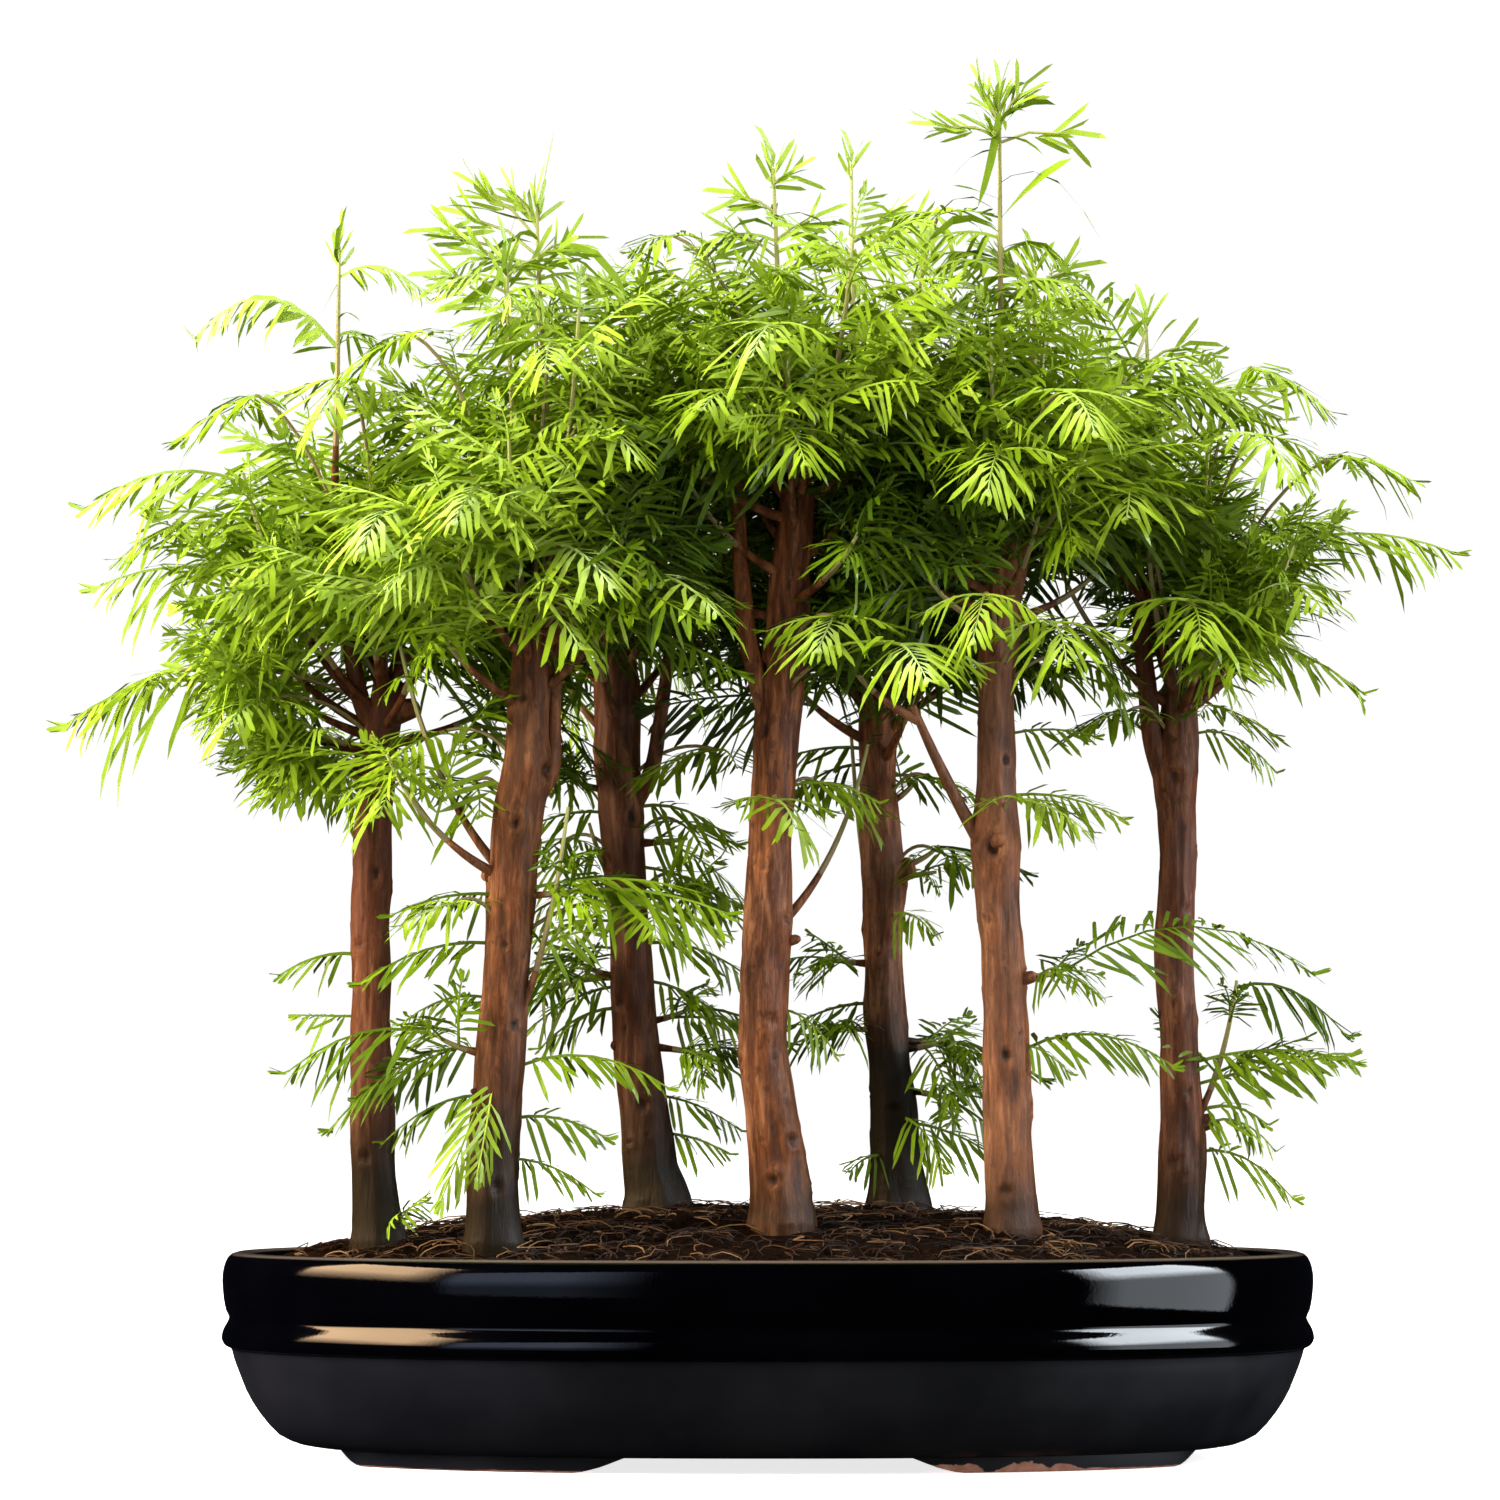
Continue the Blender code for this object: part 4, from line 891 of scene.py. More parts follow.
def blade(stations):
    # a closed leaf blade along X, with a ridge on top
    bm = bmesh.new()
    bmesh.ops.create_cone(bm, cap_ends=True, segments=3, radius1=1, radius2=0, depth=1)
    long = [e for e in bm.edges if abs(e.verts[0].co.z - e.verts[1].co.z) > 0.5]
    bmesh.ops.subdivide_edges(bm, edges=long, cuts=len(stations) - 2, use_grid_fill=True)
    for vert in bm.verts:
        along, width = stations[round((vert.co.z + 0.5) * (len(stations) - 1))]
        angle = math.atan2(vert.co.y, vert.co.x)
        onRidge = abs(angle) < 0.5
        side = 0 if onRidge else math.copysign(1, angle)
        height = frondRule["thickness"] * (0.55 if onRidge else -0.25) * width
        vert.co = (along, side * frondRule["halfWidth"] * width, height)
    bmesh.ops.remove_doubles(bm, verts=bm.verts, dist=0.001 * mm)
    outwards(bm)
    return bm


def addLeaflet(bm, root, reach, swing, side, lift, sag, draw, stations):
    # one leaflet of the flat frond; reach is its length, swing its angle from the rib
    leaf = blade(stations)
    share = leaf.verts.layers.float.new("share")
    shade = leaf.verts.layers.float.new("shade")
    tone = draw.uniform(-0.07, 0.07)
    curl = draw.uniform(-0.3, 0.9)
    tilt = draw.uniform(-0.6, 0.4)
    widen = draw.uniform(0.85, 1.1) * (0.5 + 0.5 * min(1, reach / frondRule["fullLeaflet"]))
    for vert in leaf.verts:
        s, width = vert.co.x, vert.co.y * widen
        vert[share], vert[shade] = s, tone
        turn = swing - curl * s * 0.5
        face = swing - curl * s
        x = math.cos(turn) * s * reach - math.sin(face) * width
        y = math.sin(turn) * s * reach + math.cos(face) * width
        z = vert.co.z + width * tilt * s + lift * reach * s - sag * reach * s * s
        vert.co = (root[0] + x, root[1] + side * y, z)
    outwards(leaf)
    addTo(bm, leaf)


def flatFrond():
    # share is the place along a leaflet, and shade its own lightness
    bm = bmesh.new()
    bm.verts.layers.float.new("share")
    bm.verts.layers.float.new("shade")
    return bm


def finishTemplate(bm, length):
    mesh = meshOf("frond", bm)
    mesh.attributes.new("freshAndShade", "FLOAT", "POINT")
    template = {"mesh": mesh, "length": length}
    points = np.empty(len(mesh.vertices) * 3, np.float32)
    mesh.vertices.foreach_get("co", points)
    template["points"] = points.reshape(-1, 3).astype(float)
    for name in ("share", "shade"):
        values = np.zeros(len(mesh.vertices), np.float32)
        mesh.attributes[name].data.foreach_get("value", values)
        template[name] = values
        mesh.attributes.remove(mesh.attributes[name])
    return template


def frondTemplate(length, seed, leaflet, pitch, wide):
    # a flat frond along X: its rib and its two rows of leaflets
    draw = random.Random(seed)
    bm = flatFrond()
    first = frondRule["bareRoot"] * length
    pairs = round((length - first) / pitch)
    longest = leaflet * (0.55 + 0.45 * min(1, length / frondRule["fullFrom"] + wide - 1))
    stations = [(along, width * (0.7 + 0.3 * wide)) for along, width in frondRule["stations"]]
    for i in range(pairs):
        share = (i + 0.5) / pairs
        profile = 0.80 + 0.24 * math.sin(math.pi * min(1, share * 1.35)) - 0.44 * share ** 2.2
        for side in (-1, 1):
            swing = math.radians(66 - 40 * share + draw.uniform(-10, 10))
            root = first + (length - first) * share * 0.98 + draw.uniform(-0.6, 0.6) * mm
            addLeaflet(bm, (root, side * 0.3 * mm), longest * profile * draw.uniform(0.82, 1.1), swing, side,
                       draw.uniform(-0.05, 0.4), draw.uniform(0.1, 0.75), draw, stations)
    for swing, side in ((15, -1), (13, 1), (0, 1)):
        addLeaflet(bm, (length * 0.97, 0), longest * 0.36, math.radians(swing), side, 0.1, 0.1, draw,
                   stations)
    rib = [(Vector((length * k / 6, 0, -0.15 * mm)), (0.62 - 0.06 * k) * mm) for k in range(7)]
    addTo(bm, skin(rib, 3, up))
    return finishTemplate(bm, length)


def strapTemplate(length, seed):
    # one long single leaf along X
    bm = flatFrond()
    addLeaflet(bm, (0, 0), length, 0.05, 1, 0.05, 0.05, random.Random(seed), frondRule["strapStations"])
    return finishTemplate(bm, length)


def tuftTemplate(length, leaves, seed):
    # young leaves that stand round the end of a shoot
    draw = random.Random(seed)
    bm = flatFrond()
    for i in range(leaves):
        leaf = flatFrond()
        addLeaflet(leaf, (draw.uniform(-0.3, 0.25) * length, 0), length * draw.uniform(0.6, 1.05),
                   math.radians(12 + 34 * (i % 3) / 2 + draw.uniform(-5, 5)), 1, 0.05, 0.35, draw,
                   frondRule["stations"])
        turn = Matrix.Rotation(i * 2.4 + draw.uniform(-0.3, 0.3), 4, "X")
        bmesh.ops.transform(leaf, matrix=turn, verts=leaf.verts)
        addTo(bm, leaf)
    return finishTemplate(bm, length)


def addFrond(bm, template, frond, freshAndShade, draw, wide=1.0, fade=0.36):
    # a copy of the flat frond, bent along its rib and falling away to both sides
    root, direction, length, droop, roll, fold = frond
    points = template["points"] * (length / template["length"])
    along, across, height = points[:, 0:1], points[:, 1:2] * wide, points[:, 2:3]
    share = np.clip(along / length, 0, 1)
    level = direction.cross(up)
    level = level.normalized() if level.length > 0.05 else Vector((0, 1, 0))
    acrossWay = (level * math.cos(roll) + direction.cross(level) * math.sin(roll)).normalized()
    upward, heading, sideways = np.array(up), np.array(direction), np.array(acrossWay)
    tangent = heading - upward * 2 * droop * share
    facing = np.cross(sideways, tangent)
    facing /= np.linalg.norm(facing, axis=1, keepdims=True)
    twist, sway = draw.uniform(-9, 9), draw.uniform(-0.16, 0.16)
    spots = np.array(root) + heading * along - upward * droop * length * share ** 2 + sideways * across
    spots += facing * (height + across * along * twist) - upward * (6 * across ** 2 + fold * abs(across))
    spots += sideways * sway * length * share ** 2
    # the tone carries the painted light and shade that the frond is given
    tone = freshAndShade * (0.72 + 0.28 * share[:, 0] ** 1.5) * (1 + fade * (0.4 - template["share"]))
    tone += template["shade"] + draw.uniform(-0.11, 0.11)
    mesh = template["mesh"]
    mesh.vertices.foreach_set("co", spots.astype(np.float32).ravel())
    mesh.attributes["freshAndShade"].data.foreach_set("value", np.clip(tone, 0, 1).astype(np.float32))
    bm.from_mesh(mesh)


def nearest(templates, length, draw):
    fit = min(abs(template["length"] - length) for template in templates)
    return draw.choice([template for template in templates if abs(template["length"] - length) < fit + 1e-6])


# The shoots

shootRule = {
    "frondPairs": 7,
    "lowPairs": 2,
    "crownFrom": 230 * mm,  # a shoot that starts lower carries the low number
    "lastShare": 0.97,
    "greenRadius": (1.2 * mm, 0.6 * mm),
}
# the frond at a shoot's end where it isn't in line with the shoot: direction, steepness, length, droop, roll
# and how much its two rows of leaflets hang
tips = {
    "tree_1": {
        1: (182, 0.3, 58, 0.5, -0.5, 0.6),
        2: (183, 0.28, 50, 0.36, -0.5, 0.5),
        3: (182, 0.45, 62, 0.55, -0.4, 0.6),
    },
    "tree_2": {7: (352, 0.12, 54, 0.22, 0.3, 0.5), 8: (184, 0.34, 54, 0.5, -0.5, 0.5)},
    "tree_3": {5: (188, 0.05, 34, 0.5, -0.5, 0.5), 6: (0, 0.1, 36, 0.45, 0.5, 0.5)},
    "tree_5": {6: (358, 0.0, 32, 0.3, 0.3, 0.6), 7: (350, -0.05, 36, 0.3, 0.3, 0.6)},
    "tree_6": {7: (356, 0.72, 116, 0.64, 1.15, 0.1)},
    "tree_7": {
        2: (2, 0.2, 52, 0.28, 0.2, 0.5),
        3: (354, 0.3, 30, 0.7, 0.3, 0.9),
        7: (350, 0.35, 42, 0.75, 0.3, 0.6),
    },
}
leaders = {"tree_1": [7], "tree_2": [3], "tree_4": [7], "tree_5": [5], "tree_6": [6], "tree_7": [1]}
# what a leader carries. Fronds are height, direction, steepness, length, droop; straps are single long leaves
# with the same numbers; tufts are height, direction, steepness and the length of their stalk
leaderRule = {
    "tree_1": {
        "fronds": [(425, 0, 0.72, 40, 0.79), (400, 180, 1.34, 86, 0.77), (404, 60, 0.5, 26, 0.5)],
        "straps": [(400, 178, 0.1, 17, 0.1), (401, 15, 0.9, 20, 0.5), (424, 200, -2.0, 14, 0.1),
                   (430, 250, 1.0, 14, 0.4), (410, 290, 0.6, 18, 0.6), (392, 110, 0.8, 24, 0.6),
                   (390, 330, 0.7, 26, 0.7)],
        "tufts": [],
    },
    "tree_2": {
        "fronds": [(424, 190, 0.5, 34, 0.5), (420, 350, 0.4, 36, 0.6), (412, 270, 0.3, 34, 0.5),
                   (410, 100, 0.5, 36, 0.5), (404, 215, 0.3, 40, 0.5), (402, 330, 0.3, 40, 0.5)],
        "straps": [(440, 178, 0.35, 34, 0.1), (442, 0, 5.0, 36, 0.05), (428, 0, 0.8, 44, 0.9),
                   (432, 170, 0.7, 26, 0.7), (430, 20, 0.2, 30, 0.6), (434, 250, 0.6, 26, 0.7),
                   (420, 160, 0.3, 36, 0.5), (426, 300, 0.8, 30, 0.8)],
        "tufts": [(438, 174, 1.5, 14), (434, 180, 0.9, 24), (428, 4, 0.5, 12), (428, 170, 0.6, 26),
                  (422, 320, 0.8, 10), (420, 186, 0.5, 34)],
    },
    "tree_4": {
        "fronds": [(436, 200, 0.4, 32, 0.5), (432, 340, 0.5, 34, 0.6), (424, 90, 0.4, 36, 0.5),
                   (420, 265, 0.4, 38, 0.5)],
        "straps": [(446, 190, 0.8, 26, 0.8), (444, 350, 0.7, 30, 0.9), (440, 210, 0.9, 30, 0.9),
                   (436, 20, 0.8, 32, 0.9), (434, 150, 0.8, 32, 0.8), (448, 90, 0.7, 24, 0.7),
                   (442, 270, 0.7, 24, 0.7)],
        "tufts": [(446, 182, 0.5, 12), (456, 350, 0.7, 5), (436, 10, 0.6, 14), (430, 200, 0.5, 16)],
    },
    "tree_5": {
        "fronds": [(452, 10, 0.5, 34, 0.6), (446, 190, 0.4, 32, 0.6), (442, 350, 0.5, 40, 0.6),
                   (438, 90, 0.4, 34, 0.5), (436, 270, 0.4, 36, 0.5), (430, 20, 0.6, 44, 0.6),
                   (428, 200, 0.4, 36, 0.5)],
        "straps": [(462, 0, 0.9, 26, 0.9), (456, 180, 0.8, 24, 0.9), (450, 30, 0.9, 34, 0.9),
                   (446, 170, 0.9, 28, 0.8)],
        "tufts": [(450, 6, 0.8, 16), (444, 2, 0.6, 28), (440, 186, 0.5, 14)],
    },
    "tree_6": {
        "fronds": [(432, 20, 0.8, 34, 0.7), (426, 200, 0.6, 34, 0.6), (420, 350, 0.5, 40, 0.6),
                   (416, 90, 0.5, 34, 0.5), (438, 184, 0.4, 34, 0.5), (428, 170, 0.7, 40, 0.6)],
        "straps": [(446, 178, 1.4, 46, 0.95), (445, 2, 1.3, 40, 0.17), (458, 352, 0.9, 46, 1.06),
                   (440, 186, 1.0, 40, 0.8), (452, 200, 0.4, 20, 0.1), (434, 10, 0.7, 34, 0.7),
                   (430, 170, 0.8, 32, 0.8), (478, 178, 1.5, 22, 0.4), (476, 10, 1.6, 30, 0.25),
                   (480, 0, 0.9, 27, 0.35), (470, 190, 0.1, 18, 0.7), (474, 350, 0.2, 16, 0.5),
                   (482, 200, 1.7, 24, 0.4), (479, 300, 1.0, 20, 0.5), (478, 80, 1.0, 22, 0.6),
                   (484, 30, 2.0, 24, 0.4), (496, 260, -6.0, 36, 0.0)],
        "tufts": [(474, 180, 0.2, 18), (472, 1, 0.16, 21), (478, 8, 1.6, 14), (478, 172, 2.2, 13),
                  (474, 230, 0.3, 6)],
    },
    "tree_7": {
        "fronds": [(392, 180, 0.4, 30, 0.5), (390, 10, 0.4, 36, 0.5), (386, 270, 0.3, 34, 0.5),
                   (384, 90, 0.3, 34, 0.5)],
        "straps": [(402, 172, 1.0, 18, 0.5), (400, 8, 2.0, 24, 0.2), (396, 200, 0.8, 22, 0.7),
                   (394, 340, 0.7, 26, 0.7)],
        "tufts": [(398, 4, 0.5, 13), (396, 184, 0.4, 12)],
    },
}
# more leaders, which rise above the crown beside the first
secondLeaders = {
    "tree_2": [(0, 290, 200, 10, 134, 36)],
    "tree_6": [(1, 366, 350, 2, 58, 30)],
}
secondLeaderRule = {
    "fronds": [(418, 190, 0.5, 30, 0.6), (414, 350, 0.5, 32, 0.6), (410, 270, 0.4, 32, 0.5),
               (406, 100, 0.4, 32, 0.5)],
    "straps": [(424, 178, 0.8, 26, 0.7), (422, 8, 0.8, 28, 0.8), (420, 260, 0.8, 22, 0.8),
               (418, 100, 0.8, 24, 0.8)],
    "tufts": [(422, 176, 0.8, 14), (420, 6, 0.6, 12), (414, 190, 0.3, 20)],
}
# single fronds that grow from the bark: stem, height, direction, steepness, length, droop and how fresh they
# are, set lower as painted shade on the trees at the back
loneFronds = {
    "tree_1": [(0, 88, 345, 1.2, 18, 0.2, 0.85), (0, 90, 20, 0.9, 15, 0.2, 0.75),
               (0, 87, 300, 0.8, 14, 0.2, 0.8), (0, 184, 186, 0.1, 26, 0.4, 0.5),
               (0, 162, 182, 0.0, 20, 0.0, 0.55)],
    "tree_2": [(0, 206, 352, 0.25, 62, 0.3, 0.6), (0, 142, 255, -2.6, 36, 0.1, 1.0),
               (0, 139, 235, -1.4, 34, 0.5, 0.8), (0, 144, 352, 0.4, 58, 0.55, 0.66),
               (0, 204, 184, 0.1, 36, 0.3, 0.5), (0, 187, 186, 0.1, 46, 0.35, 0.4),
               (0, 150, 184, 0.2, 54, 0.62, 0.5), (0, 134, 176, 0.0, 34, 0.5, 0.4),
               (0, 126, 352, 0.2, 34, 0.4, 0.4), (0, 112, 350, 0.0, 30, 0.4, 0.35),
               (0, 168, 176, 0.2, 30, 0.5, 0.35)],
    "tree_3": [(0, 188, 182, 0.2, 30, 0.6, 0.42), (0, 134, 352, -0.1, 30, 0.4, 0.35),
               (0, 120, 356, 0.0, 24, 0.3, 0.4), (0, 238, 188, 0.1, 34, 0.4, 0.45),
               (0, 224, 180, 0.0, 38, 0.5, 0.45), (0, 212, 186, -0.1, 34, 0.4, 0.4),
               (0, 240, 352, 0.2, 38, 0.5, 0.5), (0, 228, 348, 0.0, 42, 0.5, 0.5),
               (0, 218, 356, -0.1, 36, 0.4, 0.42), (0, 190, 352, 0.1, 38, 0.5, 0.45),
               (0, 176, 348, -0.1, 36, 0.5, 0.45), (0, 174, 186, -0.1, 34, 0.5, 0.42),
               (0, 166, 178, 0.0, 28, 0.5, 0.42), (0, 198, 176, 0.1, 32, 0.4, 0.42)],
    "tree_4": [(0, 243, 350, 0.25, 32, 0.35, 0.62), (0, 164, 345, 0.0, 20, 0.8, 0.4)],
    "tree_5": [(0, 200, 300, 0.2, 34, 0.4, 0.5), (0, 112, 230, 0.1, 24, 0.3, 0.4),
               (0, 126, 300, -0.1, 36, 0.4, 0.35), (0, 168, 184, 0.0, 28, 0.3, 0.36),
               (0, 124, 350, -0.1, 34, 0.4, 0.4), (0, 262, 184, 0.1, 28, 0.3, 0.45),
               (0, 256, 176, 0.0, 26, 0.4, 0.42), (0, 252, 10, 0.1, 26, 0.4, 0.42)],
    "tree_6": [(0, 150, 356, 0.55, 58, 0.5, 0.5), (0, 152, 340, -0.1, 18, 0.5, 0.4),
               (0, 240, 345, 0.1, 40, 0.3, 0.62), (0, 262, 350, 0.2, 30, 0.3, 0.5)],
    "tree_7": [(0, 264, 355, 0.3, 30, 0.7, 0.6), (1, 296, 338, 0.3, 80, 0.52, 0.66),
               (0, 122, 350, 0.7, 34, 0.8, 0.55), (0, 114, 355, 0.2, 34, 0.6, 0.5),
               (0, 138, 350, 0.3, 58, 0.1, 0.62), (0, 146, 352, 0.3, 60, 0.3, 0.6),
               (0, 128, 355, 0.5, 28, 0.6, 0.5)],
}
# young fronds that hang towards the viewer: x, height, y, direction, length and how fresh they are, set lower
# as painted shade for those further back
fans = {
    "tree_1": [(-184, 386, -50, 190, 30, 0.7), (-137, 346, -98, 262, 34, 0.95),
               (-166, 330, -62, 225, 34, 0.7), (-131, 247, -66, 265, 34, 0.7),
               (-182, 276, -60, 250, 32, 0.75), (-150, 392, -62, 250, 34, 0.85),
               (-206, 340, -30, 220, 32, 0.7), (-216, 286, -30, 200, 30, 0.75),
               (-160, 250, -44, 240, 32, 0.5)],
    "tree_2": [(-128, 408, -70, 215, 32, 0.7), (-104, 354, -112, 272, 36, 0.95),
               (-74, 332, -112, 295, 36, 0.95), (-78, 309, -104, 285, 28, 0.8),
               (-78, 406, -92, 265, 40, 0.9), (-66, 378, -98, 300, 34, 0.8),
               (-44, 202, -62, 290, 38, 0.85), (-112, 203, -84, 225, 24, 0.7),
               (-118, 264, -60, 250, 30, 0.5), (-106, 246, -50, 280, 30, 0.4),
               (-39, 321, -100, 308, 42, 0.95)],
    "tree_3": [(-40, 372, -20, 265, 36, 0.7), (-18, 258, 44, 215, 34, 0.55), (-32, 232, 60, 300, 26, 0.35),
               (-30, 212, 62, 320, 26, 0.3), (-72, 226, 60, 240, 24, 0.3)],
    "tree_4": [(1, 412, -92, 270, 34, 0.92), (-14, 388, -100, 262, 32, 0.85),
               (8, 374, -102, 285, 34, 0.62), (-34, 444, -40, 235, 26, 0.8), (24, 306, -96, 255, 34, 0.85),
               (48, 296, -104, 285, 40, 0.95), (3, 240, -62, 290, 28, 0.85), (18, 246, -30, 320, 28, 0.55)],
    "tree_5": [(62, 452, 10, 250, 28, 0.78), (40, 392, -10, 280, 36, 0.8), (52, 370, 0, 290, 34, 0.6),
               (60, 222, 56, 320, 26, 0.32), (58, 248, 50, 330, 24, 0.35)],
    "tree_6": [(78, 314, -104, 262, 32, 0.85), (102, 304, -96, 290, 34, 0.8),
               (107, 388, -98, 280, 40, 0.95), (84, 366, -104, 255, 34, 0.7), (91, 240, -58, 330, 32, 0.7),
               (112, 290, -30, 310, 30, 0.4)],
    "tree_7": [(152, 312, -62, 275, 40, 0.58), (130, 352, -70, 265, 36, 0.8),
               (176, 372, -50, 300, 34, 0.78), (188, 318, -44, 300, 26, 0.75),
               (160, 274, -12, 330, 24, 0.5), (130, 272, -14, 220, 26, 0.4), (174, 396, -20, 350, 32, 0.7),
               (206, 364, -20, 350, 28, 0.7)],
}
crownBox = {
    "depth": 0.150,
    "low": 0.215,
    # where the crown is open, as x, height, half width and half height; the last number says how far behind
    # the leaves still stand in the way of what is seen through it
    "clearings": [(3, 324, 20, 44, -42), (88, 322, 14, 22, -36), (137, 300, 12, 34, 0),
                  (-148, 285, 16, 24, -33), (-56, 282, 13, 22, 60), (104, 315, 17, 13, 200),
                  (198, 319, 10, 9, 200), (184, 356, 13, 13, 200), (108, 266, 20, 12, 200),
                  (-117, 278, 14, 16, 200)],
    # where painted shade darkens the leaves seen inside the crown, with how much darker they are
    "paintedShade": [(-38, 335, 34, 52, 0.4), (28, 335, 52, 42, 0.38), (146, 322, 36, 40, 0.12),
               (-136, 290, 32, 34, 0.24), (80, 335, 30, 30, 0.3)],
    # x and height in mm, as the photograph shows them
    "outline": [(-146, 233), (-174, 242), (-200, 254), (-208, 268), (-204, 284), (-214, 292), (-216, 306),
                (-208, 318), (-224, 328), (-222, 344), (-204, 352), (-186, 360), (-194, 380), (-180, 396),
                (-152, 404), (-128, 414), (-118, 434), (-100, 440), (-66, 432), (-44, 440), (-24, 448),
                (0, 450), (18, 452), (34, 464), (54, 464), (64, 452), (78, 440), (98, 442), (108, 432),
                (114, 412), (124, 400), (162, 403), (184, 393), (198, 381), (180, 364), (198, 358),
                (222, 358), (208, 340), (198, 320), (190, 308), (182, 298), (170, 284), (156, 278),
                (120, 268), (60, 266), (20, 262), (-10, 256), (-60, 248), (-110, 236)],
}
# how fresh a frond is, from 0 to 1, with painted light and shade mixed in: inside the crown, what its
# outside, top, left and right add as painted light and what lying behind its front takes off as painted
# shade, and low on the trunks, with what their back takes off as painted shade
freshAndShadeRule = {"inside": 0.06, "outside": 0.44, "top": 0.17, "left": 0.26, "right": 0.15, "front": 0.07,
             "low": 0.22, "lowBack": 0.09}


def freshAndShadeOf(frond):
    # new growth is at the top and at the outside; the same value paints light on the crown's outside, top and
    # sides, and paints shade inside the crown, behind its front and at its back
    root, direction, length, droop, roll, fold = frond
    tip = root + direction * length * 0.7 - up * droop * length * 0.5
    far = math.sqrt((tip.x / 0.250) ** 2 + (tip.y / 0.150) ** 2 + ((tip.z - 0.320) / 0.140) ** 2)
    # darker inside the crown as painted shade, lighter at its outside
    crown = freshAndShadeRule["inside"] + freshAndShadeRule["outside"] * smoothstep(0.5, 1.0, far)
    crown += freshAndShadeRule["top"] * smoothstep(0.33, 0.42, tip.z)
    # painted light on the crown's left and right sides
    crown += freshAndShadeRule["left"] * smoothstep(0.02, -0.16, tip.x) * smoothstep(0.20, 0.31, tip.z)
    crown += freshAndShadeRule["right"] * smoothstep(0.06, 0.16, tip.x)
    # painted shade on fronds that lie behind the crown's front
    crown -= freshAndShadeRule["front"] * smoothstep(-0.11, -0.03, tip.y) * smoothstep(0.40, 0.33, tip.z)
    seenX, seenZ = seenAt(tip)
    # painted shade where the crown's inside is seen
    for x, z, halfWidth, halfHeight, drop in crownBox["paintedShade"]:
        crown -= drop * max(0, 1 - ((seenX - x) / halfWidth) ** 2 - ((seenZ - z) / halfHeight) ** 2)
    # painted shade on the low fronds at the back
    low = freshAndShadeRule["low"] - freshAndShadeRule["lowBack"] * smoothstep(-0.02, 0.08, tip.y)
    share = smoothstep(0.225, 0.265, tip.z)
    return low * (1 - share) + min(0.88, max(0.02, crown)) * share


def inOutline(spot):
    x, z = seenAt(spot)
    inside = False
    points = crownBox["outline"]
    for (x1, z1), (x2, z2) in zip(points, points[1:] + points[:1]):
        if (z1 > z) != (z2 > z) and x < x1 + (z - z1) * (x2 - x1) / (z2 - z1):
            inside = not inside
    return inside


def inClearing(spot):
    seenX, seenZ = seenAt(spot)
    for x, z, halfWidth, halfHeight, behind in crownBox["clearings"]:
        if spot.y < behind * mm and ((seenX - x) / halfWidth) ** 2 + ((seenZ - z) / halfHeight) ** 2 < 1:
            return True
    return False


def keptInside(frond):
    # a frond that would reach past the crown's outline or into a clearing is grown shorter, or left out
    root, direction, length, droop, roll, fold = frond
    for attempt in range(7):
        spots = [root + direction * length * s - up * droop * length * s * s for s in (0.4, 0.6, 0.8, 1)]
        tip = spots[-1]
        if abs(tip.y) < crownBox["depth"] and (root.z < crownBox["low"] or inOutline(tip)):
            if not any(inClearing(spot) for spot in spots):
                return (root, direction, length, droop, roll, fold)
        length *= 0.88
    return None


def frondsOf(shoot, seed, tip=None):
    # root, direction, length, droop, roll and fold of each frond, the end one first
    draw = random.Random(seed)
    steep = max(0, shoot.along(1).z)
    last = shootRule["lastShare"]
    if tip:
        azimuth, rise, length, droop, roll, fold = tip
        found = [(shoot.at(last), aimed(azimuth, rise), length * mm, droop, roll, fold)]
    else:
        length = (0.85 - 0.4 * steep) * shoot.frondLength * mm
        found = [(shoot.at(last), shoot.along(1), length, 0.30, 0.0, 0.3)]
    pairs = shootRule["frondPairs"] if shoot.start.z > shootRule["crownFrom"] else shootRule["lowPairs"]
    for pair in range(pairs):
        share = last - (last - woodRule["share"]) * (pair + 0.6) / pairs
        along = shoot.along(share)
        level = along.cross(up).normalized() if abs(along.z) < 0.98 else Vector((1, 0, 0))
        turn = math.radians(90 * (pair % 2) * abs(along.z) + draw.uniform(-20, 20))
        for side in (-1, 1):
            outward = level * math.cos(turn) * side + along.cross(level) * math.sin(turn) * side
            lean = draw.uniform(0.35, 0.75)
            length = shoot.frondLength * mm * (0.72 + 0.34 * (pair + 1) / pairs) * draw.uniform(0.85, 1.1)
            direction = (outward + along * lean + up * draw.uniform(0.1, 0.5)).normalized()
            found.append((shoot.at(share), direction, length, draw.uniform(0.1, 0.42),
                          draw.uniform(-0.9, 0.9), draw.uniform(0.0, 0.4)))
    return found


def shareAt(shoot, height):
    # how far along the shoot that height is
    low, high = 0.0, 1.0
    for step in range(12):
        middle = (low + high) / 2
        if shoot.at(middle).z < height:
            low = middle
        else:
            high = middle
    return low


def leaderFronds(shoot, rows, seed):
    # a leader carries few fronds, each with its own height, direction, steepness, length and droop
    draw = random.Random(seed)
    found = []
    for height, azimuth, rise, length, droop in rows:
        share = shareAt(shoot, height * mm)
        roll = draw.uniform(-0.3, 0.3)
        found.append((shoot.at(share), aimed(azimuth, rise), length * mm, droop, roll, 0.6))
    return found


def greenStem(path, sides, firstSide, tone, gain=0.0):
    # tone is its freshness at the root, and gain what it has more at its end
    stem = skin(path, sides, firstSide)
    root, end = path[0][0], path[-1][0]
    freshAndShade = stem.verts.layers.float.new("freshAndShade")
    for vert in stem.verts:
        vert[freshAndShade] = min(1, tone + gain * (vert.co - root).length / (end - root).length)
    for face in stem.faces:
        face.material_index = 1
    return stem


